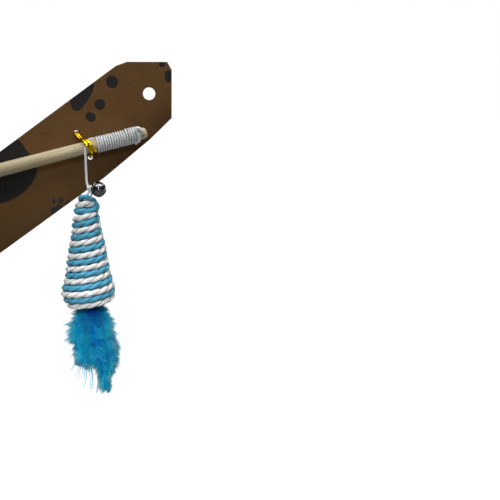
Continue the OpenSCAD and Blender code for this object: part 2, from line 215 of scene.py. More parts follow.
def make_piece(name, shape, place, body, materials, node, flat_faces=False):
    """A finished piece from a shape, put in the frame in the place of a CAD node or of several."""
    mesh = bpy.data.meshes.new(name)
    mesh.from_pydata(place(np.vstack(shape.points)).tolist(), [], shape.faces)
    for key, kind, field, values in (
        ("straight", "FLOAT_VECTOR", "vector", np.vstack(shape.straight)),
        ("tint", "FLOAT", "value", np.concatenate(shape.tint)),
    ):
        mesh.attributes.new(key, kind, "POINT").data.foreach_set(field, values.astype(np.float32).ravel())
    maps = {"pattern": shape.pattern, "OFBake": shape.strips}
    for key, rows in maps.items():
        if all(r is not None for r in rows):
            layer = mesh.uv_layers.new(name=key)
            layer.data.foreach_set("uv", np.vstack(rows).astype(np.float32).ravel())
    for material in materials:
        mesh.materials.append(material)
    mesh.polygons.foreach_set("material_index", shape.kinds)
    mesh.polygons.foreach_set("use_smooth", [not flat_faces] * len(mesh.polygons))
    mesh.validate()
    mesh.update()
    piece = bpy.data.objects.new(name, mesh)
    bpy.context.scene.collection.objects.link(piece)
    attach(piece, body)
    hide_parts(*(node if isinstance(node, tuple) else (node,)))
    return piece


def grid_pairs(rows, columns):
    """The row and the column of every cell of a grid."""
    return (a.ravel() for a in np.meshgrid(np.arange(rows), np.arange(columns), indexing="ij"))


def ring_quads(rings, sides):
    """The quads between rings of points, and each one's ring and side."""
    ring, k = grid_pairs(rings - 1, sides)
    here, after = ring * sides, (k + 1) % sides
    return ring, k, np.column_stack((here + k, here + after, here + sides + after, here + sides + k))


def corner_rows(u, v):
    """Two tables with a row for each face, as one row of two numbers for each corner."""
    return np.stack((u, v), -1).reshape(-1, 2)


def in_box(places, box):
    """Places from 0 to 1, moved into a box of the baking map: left, bottom, right and top."""
    x0, y0, x1, y1 = box
    return places * (x1 - x0, y1 - y0) + (x0, y0)


def across_path(path, outward):
    """Each point's way, and two directions across it with no twist from one point to the next."""
    way = unit(np.gradient(path, axis=0))
    if outward is not None:
        side = unit(outward - way * np.sum(way * outward, axis=1, keepdims=True))
        return way, side, np.cross(way, side)
    side = np.empty_like(way)
    last = UP if abs(way[0][2]) < 0.8 else BACK
    for i, w in enumerate(way):
        last = side[i] = unit(last - w * (w @ last))
    return way, side, np.cross(way, side)


# The share of a strip of the baking map that stays free on each side
STRIP_GAP = 0.04


def tube_strips(ring, k, rings, sides, rows):
    """Where a tube's faces lie on the baking map: rows of strips, and a row for its two ends."""
    per_row = math.ceil((rings - 1) / rows)
    row, place = ring // per_row, ring % per_row
    u0, u1 = place / per_row, (place + 1) / per_row
    v0, v1 = (
        (row + STRIP_GAP + (1 - 2 * STRIP_GAP) * side / sides) / (rows + 1) for side in (k, k + 1)
    )
    parts = [corner_rows(np.column_stack((u0, u0, u1, u1)), np.column_stack((v0, v1, v1, v0)))]
    ks = np.arange(sides)
    for middle, order in ((0.25, (ks + 1, ks)), (0.75, (ks, ks + 1))):
        a, b = (TURN * o / sides for o in order)
        u = np.column_stack((middle + 0.1 * np.cos(a), middle + 0.1 * np.cos(b), np.full(sides, middle)))
        v = np.column_stack((0.5 + 0.45 * np.sin(a), 0.5 + 0.45 * np.sin(b), np.full(sides, 0.5)))
        parts.append(corner_rows(u, (rows + v) / (rows + 1)))
    return np.vstack(parts)


def tube(
    shape, path, radius, sides=16, outward=None, flat=1.0, cap=1.0, strip_rows=None,
    strip_box=(0, 0, 1, 1), twist=None, tint=None,
):
    """Adds a closed tube. The radius is a number, one for each ring, or a table by ring and side.

    Outward gives the direction of the first side at every ring, flat is the share of the radius
    across that direction, and cap the length of the rounded ends in radii.
    """
    n = len(path)
    way, side, other = across_path(path, outward)
    turn = np.arange(sides) / sides * TURN
    radius = np.asarray(radius, float)
    radius = np.broadcast_to(radius[:, None] if radius.ndim == 1 else radius, (n, sides))
    along = run_length(path)
    # The rings with those of the rounded ends, how far these shrink, and how far they stand out
    bends = np.array((3, 2, 1)) / 8 * math.pi if cap else np.zeros(0)
    at = np.concatenate((np.zeros(len(bends), int), np.arange(n), np.full(len(bends), n - 1)))
    shrink = np.concatenate((np.cos(bends), np.ones(n), np.cos(bends[::-1])))
    out = np.concatenate((-np.sin(bends), np.zeros(n), np.sin(bends[::-1])))
    reach = out * cap * radius[at].mean(axis=1)
    radii = radius[at] * shrink[:, None]
    runs = along[at] + reach
    places = path[at] + way[at] * reach[:, None]
    spokes = np.cos(turn)[:, None] * side[at][:, None] * flat + np.sin(turn)[:, None] * other[at][:, None]
    points = (places[:, None] + radii[..., None] * spokes).reshape(-1, 3)
    first = path[0] - way[0] * radius[0].mean() * cap
    last = path[-1] + way[-1] * radius[-1].mean() * cap
    phase = turn - (0 if twist is None else np.interp(runs, along, twist)[:, None])
    level = np.broadcast_to(runs[:, None], radii.shape)
    straight = np.stack((radii * np.cos(phase), radii * np.sin(phase), level), -1).reshape(-1, 3)
    straight = np.vstack((straight, (0, 0, runs[0]), (0, 0, runs[-1])))
    rings = len(at)
    ring, k, quads = ring_quads(rings, sides)
    ks = np.arange(sides)
    after = (ks + 1) % sides
    base = (rings - 1) * sides
    start_cap = np.column_stack((after, ks, np.full(sides, rings * sides)))
    end_cap = np.column_stack((base + ks, base + after, np.full(sides, rings * sides + 1)))
    low, high = runs[ring], runs[ring + 1]
    pattern = np.vstack((
        corner_rows(np.column_stack((k, k + 1, k + 1, k)) / sides, np.column_stack((low, low, high, high))),
        corner_rows(np.column_stack((ks + 1, ks, ks + 0.5)) / sides, np.full((sides, 3), runs[0])),
        corner_rows(np.column_stack((ks, ks + 1, ks + 0.5)) / sides, np.full((sides, 3), runs[-1])),
    ))
    girth = TURN * radii.mean()
    rows = strip_rows or max(1, int(round(math.sqrt((runs[-1] - runs[0]) / girth))))
    strips = in_box(tube_strips(ring, k, rings, sides, rows), strip_box)
    if tint is not None:
        tint = np.asarray(tint, float)
        tint = np.broadcast_to(tint[:, None] if tint.ndim == 1 else tint, (n, sides))[at].ravel()
        tint = np.append(tint, (tint[0], tint[-1]))
    faces = quads.tolist() + start_cap.tolist() + end_cap.tolist()
    shape.add(np.vstack((points, first, last)), faces, straight, tint, pattern, strips)
    return shape


def plate(outline, holes, marks, extra):
    """A flat plate's points, its anticlockwise triangles, and which of these carry a mark."""
    loops = [outline, *holes, *marks]
    ends = np.cumsum([len(line) for line in loops])
    wires = [list(range(end - len(line), end)) for end, line in zip(ends, loops)]
    points = [Vector(p) for p in np.vstack([*loops, extra])]
    found = geometry.delaunay_2d_cdt(points, [], wires, 0, 1e-5)
    verts = np.array([tuple(v) for v in found[0]])
    tris, kinds = [], []
    for face, inside in zip(found[2], found[5]):
        if 0 in inside and not any(0 < i <= len(holes) for i in inside):
            tris.append(list(face))
            kinds.append(int(any(i > len(holes) for i in inside)))
    (ax, ay), (bx, by), (cx, cy) = verts[tris[0]]
    if (bx - ax) * (cy - ay) < (cx - ax) * (by - ay):
        tris = [t[::-1] for t in tris]
    used = sorted({v for t in tris for v in t})
    place = {v: i for i, v in enumerate(used)}
    return verts[used], [[place[v] for v in t] for t in tris], kinds


def thick_plate(tris, n):
    """Faces of a closed plate: its triangles, those of its other side n points on, and its rim."""
    edges = dict.fromkeys((a, b) for t in tris for a, b in zip(t, t[1:] + t[:1]))
    rim = [[b, a, a + n, b + n] for a, b in edges if (b, a) not in edges]
    return tris + [[v + n for v in reversed(t)] for t in tris], rim


def lathe(shape, outline, count):
    """Adds a closed ring from an outline of radius and height pairs, turned round the last axis."""
    r, height = np.transpose(outline)
    turn = np.arange(count)[:, None] / count * TURN
    points = np.stack(np.broadcast_arrays(r * np.cos(turn), r * np.sin(turn), height), -1).reshape(-1, 3)
    n = len(r)
    i, k = grid_pairs(count, n)
    j, m = (i + 1) % count, (k + 1) % n
    shape.add(points, np.column_stack((i * n + k, j * n + k, j * n + m, i * n + m)).tolist())


def srgb(r, g, b):
    """A colour as a photograph holds it, from 0 to 255, as the renderer's own."""
    c = np.array((r, g, b)) / 255
    linear = np.where(c <= 0.04045, c / 12.92, ((c + 0.055) / 1.055) ** 2.4)
    return (*linear.tolist(), 1.0)


class Tree:
    """A node tree, with short ways to add to it."""

    def __init__(self, tree):
        self.tree = tree

    def feed(self, socket, value):
        if isinstance(value, bpy.types.NodeSocket):
            self.tree.links.new(value, socket)
        else:
            socket.default_value = value

    def add(self, kind, inputs=None, **settings):
        node = self.tree.nodes.new("ShaderNode" + kind)
        for key, value in settings.items():
            setattr(node, key, value)
        for key, value in (inputs or {}).items():
            self.feed(node.inputs[key], value)
        return node

    def object_place(self):
        return self.add("TexCoord").outputs["Object"]

    def split(self, place):
        return self.add("SeparateXYZ", {0: place}).outputs

    def straight(self, *scale):
        """Where a point lies if the piece is laid out straight, in millimetres."""
        place = self.add("Attribute", attribute_name="straight").outputs["Vector"]
        return self.add("Mapping", {0: place, "Scale": scale}).outputs[0] if scale else place

    def tint(self):
        return self.add("Attribute", attribute_name="tint").outputs["Fac"]

    def around(self):
        """Turns around a tube and millimetres along it."""
        return self.split(self.add("UVMap", uv_map="pattern").outputs[0])[:2]

    def noise(self, place, scale, detail=3, roughness=0.55, distortion=0):
        inputs = {
            "Vector": place, "Scale": scale, "Detail": detail, "Roughness": roughness,
            "Distortion": distortion,
        }
        return self.add("TexNoise", inputs).outputs[0]

    def math(self, kind, a, b=0.0):
        return self.add("Math", {0: a, 1: b}, operation=kind).outputs[0]

    def spread(self, value, low, high, to_low=0.0, to_high=1.0):
        inputs = {"Value": value, "From Min": low, "From Max": high, "To Min": to_low, "To Max": to_high}
        return self.add("MapRange", inputs).outputs[0]

    def mix(self, share, a, b):
        return self.add("Mix", {0: share, 6: a, 7: b}, data_type="RGBA").outputs[2]

    def ray(self, *kinds):
        """One for a ray of any of these kinds."""
        path = self.add("LightPath").outputs
        seen = path[f"Is {kinds[0]} Ray"]
        for kind in kinds[1:]:
            seen = self.math("MAXIMUM", seen, path[f"Is {kind} Ray"])
        return seen

    def show(self, output, shader):
        self.tree.links.new(shader.outputs[0], self.tree.nodes[output].inputs["Surface"])


class Material(Tree):
    """A material built from nodes round one principled shader."""

    def __init__(self, name, **shader):
        self.material = bpy.data.materials.new(name)
        self.material.use_nodes = True
        super().__init__(self.material.node_tree)
        self.shader = self.tree.nodes["Principled BSDF"]
        for key, value in shader.items():
            self.feed(self.shader.inputs[key.replace("_", " ").title().replace("Ior", "IOR")], value)

    def colour(self, value):
        self.feed(self.shader.inputs["Base Color"], value)

    def rough(self, value):
        self.feed(self.shader.inputs["Roughness"], value)

    def bump(self, height, depth, share=1.0, under=None):
        """A bump this many millimetres deep."""
        inputs = {"Height": height, "Distance": depth * MM, "Strength": share}
        if under is not None:
            inputs["Normal"] = under
        out = self.add("Bump", inputs).outputs[0]
        self.feed(self.shader.inputs["Normal"], out)
        return out

    def two_tones(self, value, first, second, shares, rough, depth):
        """Two colours, the roughness and a bump that follow one noise."""
        self.colour(self.mix(self.spread(value, *shares), first, second))
        self.rough(self.spread(value, 0.3, 0.7, *rough))
        self.bump(value, depth)
        return self.material


def wood_material():
    """Pale sanded wood with fine streaks along it."""
    m = Material("wood", roughness=0.62, specular_ior_level=0.35)
    wide = m.noise(m.straight(1, 1, 0.035), 0.55, 3, 0.6, 0.6)
    fine = m.noise(m.straight(1, 1, 0.02), 3.4, 4, 0.65, 0.2)
    pores = m.noise(m.straight(1, 1, 0.09), 6.5, 2, 0.5)
    base = m.mix(m.spread(wide, 0.3, 0.7), srgb(184, 167, 129), srgb(212, 197, 166))
    streaked = m.mix(m.spread(fine, 0.48, 0.68, 0, 0.62), base, srgb(148, 128, 92))
    m.colour(m.mix(m.spread(pores, 0.64, 0.76, 0, 0.5), streaked, srgb(112, 92, 62)))
    m.rough(m.spread(fine, 0.3, 0.8, 0.55, 0.75))
    m.bump(m.math("SUBTRACT", fine, m.spread(pores, 0.6, 0.8)), 0.06)
    return m.material


def cord_material(colour, shade, painted_contact_shade):
    """Smooth braided elastic: two sets of fine strands that cross, with painted shade where turns touch."""
    m = Material("elastic cord", roughness=0.5, specular_ior_level=0.4, sheen_weight=0.25)
    turn, run = m.around()
    leans, steps = m.math("MULTIPLY", turn, 8), m.math("MULTIPLY", run, 1.5)
    waves = [
        m.math("SINE", m.math("MULTIPLY", m.math(kind, leans, steps), TURN)) for kind in ("ADD", "SUBTRACT")
    ]
    braid = m.math("MAXIMUM", *waves)
    lint = m.noise(m.straight(), 2.2, 3)
    strands = m.mix(m.spread(braid, -0.4, 0.9, 0.4, 0), colour, shade)
    cloth = m.mix(m.spread(lint, 0.35, 0.75, 0, 0.3), strands, shade)
    # Painted shade: the tint darkens the cord where wound turns touch their neighbours.
    m.colour(m.mix(m.spread(m.tint(), 0.25, 1, 0, 0.92), cloth, painted_contact_shade))
    m.rough(m.spread(lint, 0.2, 0.8, 0.42, 0.62))
    m.bump(braid, 0.03)
    return m.material


def paper_material(name, light, middle, dark):
    """Twisted paper: creases that run along the plies, with painted shade in the grooves."""
    m = Material(name, roughness=0.6, specular_ior_level=0.3)
    creases = m.noise(m.straight(1, 1, 0.16), 2.6, 4, 0.6, 0.5)
    sharp = m.noise(m.straight(1, 1, 0.1), 5.5, 3, 0.6, 0.8)
    patches = m.noise(m.straight(1, 1, 0.5), 0.45, 2)
    face = m.mix(m.spread(creases, 0.36, 0.64), middle, light)
    face = m.mix(m.spread(patches, 0.4, 0.7, 0, 0.35), face, light)
    folded = m.mix(m.spread(sharp, 0.55, 0.75, 0, 0.55), face, middle)
    # Painted shade: the tint takes the colour to dark in the grooves between plies and in the creases.
    m.colour(m.mix(m.spread(m.tint(), 0.4, 0.92, 0, 0.95), folded, dark))
    m.rough(m.spread(creases, 0.3, 0.7, 0.52, 0.74))
    m.bump(sharp, 0.12, 0.8, m.bump(creases, 0.22))
    return m.material


def foil_material():
    """Creased gold foil over wire."""
    m = Material("gold foil", metallic=1.0, roughness=0.2, specular_tint=srgb(150, 120, 40))
    place = m.straight()
    crumple = m.noise(place, 0.9, 2, 0.5, 0.6)
    fine = m.noise(place, 3.2, 2, 0.5)
    m.colour(m.mix(m.spread(crumple, 0.35, 0.7), srgb(208, 160, 8), srgb(242, 212, 36)))
    m.rough(m.spread(fine, 0.3, 0.7, 0.14, 0.3))
    m.bump(fine, 0.02, 1.0, m.bump(crumple, 0.07))
    return m.material


def bell_material():
    """Dark polished nickel with fine scuffs."""
    m = Material("bell metal", metallic=1.0, roughness=0.08, specular_tint=srgb(60, 60, 64))
    place = m.object_place()
    scuffs = m.noise(place, 900, 4, 0.6)
    tarnish = m.noise(place, 420, 3, 0.65, 0.8)
    m.colour(m.mix(m.spread(tarnish, 0.35, 0.75), srgb(126, 126, 128), srgb(66, 66, 68)))
    m.rough(m.spread(scuffs, 0.35, 0.8, 0.04, 0.14))
    m.bump(m.math("ADD", scuffs, tarnish), 0.03)
    return m.material


def kraft_material():
    """Brown kraft board with flecks and fibres, and painted shade that darkens it towards its lower edge."""
    m = Material("kraft card", roughness=0.85, specular_ior_level=0.2)
    place = m.straight()
    clouds = m.noise(place, 0.07, 3, 0.6)
    grain = m.noise(place, 1.3, 5, 0.7)
    fibres = m.noise(m.straight(0.25, 1.6, 1), 1.6, 3, 0.6, 1.2)
    flecks = m.noise(place, 2.6, 1, 0.4)
    base = m.mix(m.spread(clouds, 0.35, 0.65), srgb(114, 81, 45), srgb(123, 90, 53))
    base = m.mix(m.spread(grain, 0.4, 0.7, 0, 0.5), base, srgb(88, 62, 32))
    base = m.mix(m.spread(fibres, 0.6, 0.78, 0, 0.45), base, srgb(144, 108, 66))
    # Painted shade: the board darkens towards its lower edge.
    base = m.mix(m.spread(m.split(place)[1], 2, -22, 0, 0.75), base, srgb(68, 50, 26))
    m.colour(m.mix(m.spread(flecks, 0.7, 0.78, 0, 0.6), base, srgb(54, 38, 22)))
    m.rough(m.spread(grain, 0.3, 0.7, 0.78, 0.92))
    m.bump(m.math("ADD", grain, m.math("MULTIPLY", fibres, 0.6)), 0.03)
    return m.material


def ink_material():
    """Black print, a little thin over the board's grain."""
    m = Material("black print", roughness=0.7, specular_ior_level=0.3)
    grain = m.noise(m.straight(), 2.0, 4, 0.7)
    return m.two_tones(grain, srgb(38, 37, 37), srgb(66, 56, 46), (0.55, 0.8, 0, 0.35), (0.62, 0.8), 0.02)


def down_material():
    """Dyed down: deep blue inside, paler and greyer towards the fringe; the fringe's paleness is partly
    painted light, as if lit through its thin hairs.
    """
    m = Material(
        "blue down", roughness=0.85, specular_ior_level=0.04, sheen_weight=0.12, sheen_roughness=0.5,
        sheen_tint=srgb(150, 216, 236),
    )
    pale = m.tint()
    place = m.object_place()
    streak = m.noise(place, 240, 3, 0.6)
    cloud = m.noise(place, 120, 3, 0.55)
    patch = m.noise(place, 170, 2, 0.5)
    near = m.mix(m.spread(pale, 0.04, 0.3), srgb(0, 82, 190), srgb(0, 172, 226))
    middle = m.mix(m.spread(pale, 0.28, 0.6), near, srgb(20, 214, 238))
    # Partly painted light: the pale far colour stands in for light through the fringe's thin hairs.
    far = m.mix(m.spread(pale, 0.6, 0.95), middle, srgb(172, 222, 236))
    shown = m.math("MULTIPLY", m.spread(cloud, 0.46, 0.62, 0, 0.6), m.spread(pale, 0.12, 0.36))
    clouded = m.mix(shown, far, srgb(60, 214, 244))
    deep = m.mix(m.spread(patch, 0.5, 0.64, 0, 0.5), clouded, srgb(0, 92, 196))
    m.colour(m.mix(m.spread(streak, 0.35, 0.8, 0, 0.25), deep, srgb(6, 132, 204)))
    m.rough(m.spread(streak, 0.3, 0.7, 0.72, 0.88))
    m.bump(streak, 0.02)
    return m.material


def shaft_material():
    """The dyed, slightly glossy shaft of a feather."""
    m = Material("quill", roughness=0.42)
    run = m.noise(m.straight(1, 1, 0.1), 3.0, 3)
    return m.two_tones(run, srgb(8, 62, 128), srgb(34, 112, 176), (0.3, 0.7), (0.36, 0.5), 0.03)


def board_material(name, light, dark, scale):
    """Rolled or pressed board."""
    m = Material(name, roughness=0.85, specular_ior_level=0.2)
    grain = m.noise(m.object_place(), scale, 5, 0.65)
    return m.two_tones(grain, light, dark, (0.35, 0.7), (0.78, 0.92), 0.06)


def glue_material():
    """Hot glue: cloudy, smooth and slightly yellow."""
    m = Material("glue", roughness=0.3, subsurface_weight=0.2)
    clouds = m.noise(m.object_place(), 420, 3)
    return m.two_tones(clouds, srgb(236, 230, 210), srgb(212, 200, 168), (0.3, 0.7), (0.22, 0.4), 0.08)


def steel_material():
    """Bare steel of the pellet."""
    m = Material("pellet steel", metallic=1.0, roughness=0.3)
    marks = m.noise(m.object_place(), 1400, 4)
    return m.two_tones(marks, srgb(176, 178, 182), srgb(150, 150, 154), (0.3, 0.7), (0.24, 0.42), 0.01)


WOOD = wood_material()
# The cord's third colour is painted shade where wound turns touch.
CORD = cord_material(srgb(229, 232, 231), srgb(188, 194, 195), srgb(104, 110, 110))
# Each rope's last colour is painted shade for its grooves and creases.
BLUE_PAPER = paper_material("blue paper rope", srgb(84, 166, 194), srgb(44, 130, 166), srgb(4, 40, 64))
WHITE_PAPER = paper_material(
    "white paper rope", srgb(234, 233, 231), srgb(208, 207, 207), srgb(68, 66, 66)
)
FOIL = foil_material()
BELL_METAL = bell_material()
KRAFT = kraft_material()
INK = ink_material()
CARD_EDGE = board_material("card edge", srgb(132, 104, 70), srgb(96, 72, 46), 1600)
DOWN = down_material()
SHAFT = shaft_material()
# The rolled core is coloured far darker than card, as painted shade in the gaps between the ropes.
ROLLED_CARD_PAINTED_SHADE = board_material("rolled card", srgb(70, 60, 46), srgb(50, 42, 32), 700)
PLUG = board_material("plug board", srgb(172, 142, 100), srgb(128, 100, 66), 1100)
GLUE = glue_material()
STEEL = steel_material()


# Camera: the photograph's view
FRAME_PX = 500
SENSOR = 36
MM_PER_PX = 0.62
VIEW_DISTANCE = 600
VIEW_DOWN = math.radians(11)
VIEW_MIDDLE = (100.366, 0, -63.194)


def add_camera():
    data = bpy.data.cameras.new("camera")
    data.sensor_width = SENSOR
    data.lens = VIEW_DISTANCE / (FRAME_PX * MM_PER_PX) * SENSOR
    camera = bpy.data.objects.new("camera", data)
    back = np.array((0, -math.cos(VIEW_DOWN), math.sin(VIEW_DOWN)))
    camera.location = at_tie(VIEW_MIDDLE) + back * VIEW_DISTANCE * MM
    camera.rotation_euler = (math.pi / 2 - VIEW_DOWN, 0, 0)
    bpy.context.scene.collection.objects.link(camera)
    bpy.context.scene.camera = camera


# Lengths of one step along a cord: fine for knots and short pieces
CORD_STEP = 0.4
FINE_STEP = 0.2

# The free cord: out from under the tie, down through the bell's knot and into the cone
CORD_D = 1.5
CORD_EXIT = (0.8, -4.8, 0.2)
CORD_ROUTE = (
    (1.05, -4.8, 0.2), (1.05, -4.8, -1.2), (1.05, -4.8, -3), (1.1, -4.8, -6), (1.12, -4.8, -9),
    (1.15, -4.8, -12), (1.2, -4.8, -15), (1.25, -4.8, -18), (1.32, -4.8, -20.2), (1.62, -4.95, -21.9),
    (2.2, -5.3, -23.3), (2.6, -5.6, -24.8), (2.3, -5.6, -26.6), (1.3, -5.4, -28.4), (0.6, -5.1, -30.2),
    (0.3, -5, -32), (0.3, -5, -34), (0.3, -5, -36), (0.3, -5, -37.6),
)


def add_hanging_cord():
    path = smooth(CORD_ROUTE, CORD_STEP)
    shape = tube(Shape(), path, CORD_D / 2, 20)
    nodes = ("hanging_cord", "toy_cord")
    return make_piece("cord_hanging", shape, at_tie, "cord", [CORD], nodes), path


# The cord's bend under the tie, a little thicker than the cord so that it covers the cord's end
BEND_ROUTE = (
    (1.7, -4.25, 2.5), (1.45, -4.6, 1.9), (1.2, -4.8, 1.3), (1.08, -4.83, 0.6), (1.05, -4.8, -0.5),
)
BEND_R = CORD_D / 2 + 0.01
BEND_STEP = 0.15

# The knot at the bell, its link through the bell's eyelet, and the second strand below it.
# A knot's size is that of the curve it follows, and its cord is a little thinner, as if pulled.
KNOT_MIDDLE = (3.35, -5.9, -23.9)
KNOT_SIZE = (0.46, 0.42, 0.44)
KNOT_TURN, KNOT_TILT = 0.5, 0.3
KNOT_R = 0.7
LINK_ROUTE = (
    (2.4, -5.4, -23.7), (3.0, -5.6, -24.3), (3.5, -5.9, -25.0), (3.95, -5.6, -25.6), (4.1, -5.0, -25.9),
    (3.9, -4.4, -25.8), (3.4, -4.2, -25.3), (2.8, -4.4, -24.7), (2.3, -4.8, -24.2),
)
LINK_R = 0.31
SECOND_STRAND = (
    (3.2, -5.7, -24.6), (3.8, -5.8, -25.6), (4.15, -5.7, -26.8), (4.05, -5.5, -28.0), (3.5, -5.3, -29.3),
    (2.7, -5.1, -30.6), (2.0, -5, -32), (1.6, -5, -33.6),
)
SECOND_R = 0.66
SECOND_STEP = 0.3

# The stopper knot inside the cone
STOPPER_MIDDLE = (0.3, -5, -38.6)
STOPPER_SIZE = (0.36, 0.34, 0.3)
STOPPER_TURN, STOPPER_TILT = 0.2, 1.2
STOPPER_R = 0.62


def overhand(middle, size, turn, tilt):
    """The middle line of an overhand knot, in fine steps."""
    t = np.linspace(0, TURN, 121)[:-1]
    x = (np.sin(t) + 2 * np.sin(2 * t)) * size[0]
    y = -np.sin(3 * t) * size[1]
    z = (np.cos(t) - 2 * np.cos(2 * t)) * size[2]
    x, z = turned(x, z, turn)
    y, z = turned(y, z, tilt)
    return resample(np.column_stack((x, y, z)) + middle, FINE_STEP)


def add_knots():
    shape = Shape()
    middle = overhand(KNOT_MIDDLE, KNOT_SIZE, KNOT_TURN, KNOT_TILT)
    tube(shape, middle, KNOT_R, strip_box=(0, 0, 1, 0.5))
    tube(shape, smooth(LINK_ROUTE, FINE_STEP), LINK_R, 12, strip_box=(0, 0.5, 1, 0.75))
    tube(shape, smooth(SECOND_STRAND, SECOND_STEP), SECOND_R, strip_box=(0, 0.75, 1, 1))
    make_piece("knot_at_bell", shape, at_tie, "cord", [CORD], "hang_knot")
    inner = overhand(STOPPER_MIDDLE, STOPPER_SIZE, STOPPER_TURN, STOPPER_TILT)
    shape = tube(Shape(), inner, STOPPER_R, 14)
    make_piece("knot_in_cone", shape, at_tie, "cord", [CORD], "anchor_knot")
    shape = tube(Shape(), smooth(BEND_ROUTE, BEND_STEP), BEND_R, 20)
    make_piece("cord_turn", shape, at_tie, "cord_bend", [CORD], "cord_bend")


# The stick, along its own axis from the middle of the grip
STICK_BUTT = -60
STICK_TIP = 339
STICK_R = 4.2
STICK_TIP_R = 3.4
# The length over which the stick gets thinner, and how far its tip hangs down
STICK_THIN = 110
STICK_DIP = 0.4
BUTT_EDGE = 0.8
TIP_EDGE = 2.1
STICK_STEP = 2.0
STICK_SIDES = 64
# How far the wood swells and bends, and how far out of round it is
SWELLING = 0.03
BENDING = 0.05
OUT_OF_ROUND = 0.02


def stick_r(s):
    return np.interp(s, (STICK_TIP - STICK_THIN, STICK_TIP), (STICK_R, STICK_TIP_R))


def stick_dip(s):
    """How far the stick's end hangs down from a straight line."""
    return -STICK_DIP * ease((s - TIE_S) / (STICK_TIP - TIE_S))


def add_stick():
    quarter = np.linspace(0, math.pi / 2, 7)
    inside = np.arange(STICK_BUTT + BUTT_EDGE + STICK_STEP / 2, STICK_TIP - TIP_EDGE, STICK_STEP)
    back, inset = 1 - np.sin(quarter), 1 - np.cos(quarter)
    s = np.concatenate((STICK_BUTT + BUTT_EDGE * back, inside, STICK_TIP - TIP_EDGE * back))
    inset = np.concatenate((BUTT_EDGE * inset, np.zeros(len(inside)), TIP_EDGE * inset))
    order = np.argsort(s)
    s, inset = s[order], inset[order]
    turn = np.arange(STICK_SIDES) / STICK_SIDES * TURN
    wavy = SWELLING * wobble(s, 0.01, 3)[:, None] + OUT_OF_ROUND * np.sin(3 * turn + 1)
    radius = (stick_r(s) - inset)[:, None] + wavy
    path = np.column_stack((
        BENDING * wobble(s, 0.004, 5) + stick_dip(s), BENDING * wobble(s, 0.004, 6), s
    ))
    shape = tube(Shape(), path, radius, STICK_SIDES, outward=np.tile(RIGHT, (len(s), 1)), cap=0.001)
    make_piece("dowel", shape, at_stick, "stick", [WOOD], "wooden_stick")


# The cord wound on the stick's tip, from where it leaves the tie. Angles are in degrees.
WIND_PITCH = 1.5
WIND_TURNS = 18
WIND_START = TIE_S + 7.0
WIND_EXIT = TIE_S + 0.82
WIND_STEPS = 44
WIND_SIDES = 20
LEAD_START = 30
LEAD_END = 120
WIND_SHORT = 40
# The wound cord is pressed to this width and height, and this far into the stick
WIND_W = 1.36
WIND_H = 1.5
WIND_SINK = 0.12
# How far a turn bows along the stick, and the last turns' rise, lean and unevenness
WIND_BOW = 1.4
WIND_RAISED = 6
WIND_RISE = 0.5
WIND_LEAN = 0.3
WIND_DRIFT = 0.06
RAISED_DRIFT = 0.14
RAISED_SWELL = 0.05


def add_winding():
    angle = np.arange(LEAD_START, LEAD_END + 360 * WIND_TURNS - WIND_SHORT, 360 / WIND_STEPS)
    turns = (angle - LEAD_END) / 360
    lead = ease((angle - LEAD_START) / (LEAD_END - LEAD_START))
    lead_in = WIND_EXIT + (WIND_START - WIND_EXIT) * lead
    s = np.where(angle < LEAD_END, lead_in, WIND_START + WIND_PITCH * turns)
    raised = np.clip(turns - (WIND_TURNS - WIND_RAISED), 0, 1)
    lean = WIND_LEAN * raised * np.sin(np.radians(angle) + 0.6)
    drift = WIND_DRIFT * wobble(turns, 0.7, 11) + raised * RAISED_DRIFT * wobble(turns, 0.9, 12)
    bow = WIND_BOW * np.cos(np.radians(angle)) * ease((angle - LEAD_END) / 120)
    s = s + lean + bow + np.where(turns > 0.5, drift, 0)
    upper = 0.5 + 0.5 * np.cos(np.radians(angle - 75))
    r = stick_r(s) + WIND_H / 2 - WIND_SINK + WIND_RISE * ease(raised) * upper
    path = round_stick(s, angle, r + RAISED_SWELL * raised * wobble(turns, 1.4, 13))
    path[:, 0] += stick_dip(s)
    # Painted shade on each turn's sides, where it touches the next turn
    painted_contact_share = np.abs(np.sin(np.arange(WIND_SIDES) / WIND_SIDES * TURN)) ** 2.4
    shape = tube(
        Shape(), path, WIND_W / 2, WIND_SIDES, outward=round_stick(0 * s, angle, 1.0),
        flat=WIND_H / WIND_W, cap=0.8, tint=painted_contact_share * ease((angle - LEAD_END) / 90)[:, None],
    )
    make_piece("cord_on_stick", shape, at_stick, "stick", [CORD], "cord_winding")


# The wound cord's end: tucked up from the last turn and round in a small loop
TIP_KNOT_ROUTE = (
    (31.4, -1.6, 2.6), (32.2, -3.2, 3.4), (33.3, -4.4, 4.8), (33.85, -5.0, 6.6), (33.2, -5.5, 8.5),
    (32.3, -5.6, 10.2), (32.2, -5.1, 11.8), (33.1, -5.0, 12.2), (34.3, -5.1, 11.6), (35.4, -4.9, 10.6),
    (35.7, -4.6, 9.6), (35.1, -4.5, 8.9), (34.2, -4.5, 8.8), (33.4, -4.5, 9.3), (32.6, -3.8, 10.2),
)
# Its thickness, in shares of the radius, by the share of its length
TIP_KNOT_SHARES = ((0, 1), (0.4, 1), (0.5, 1.3), (0.6, 1.6), (0.78, 1.45), (0.86, 1.1), (1, 1))
TIP_KNOT_R = 0.68


def add_tip_knot():
    path = smooth(TIP_KNOT_ROUTE, FINE_STEP)
    along = run_length(path)
    thick = np.interp(along / along[-1], *np.transpose(TIP_KNOT_SHARES))
    shape = tube(Shape(), path, TIP_KNOT_R * thick, 18)
    make_piece("loop_at_tip", shape, at_tie, "stick", [CORD], "tip_knot")


# The ropes round the cone, in the cone's frame
CONE_TOP = 29
CONE_H = 67.125
CONE_R = 14.95
ROPE_PITCH = 7.5
ROPE_D = 3.86
ROPE_STEP = 0.55
ROPE_SIDES = 40
PLY_PITCH = 13
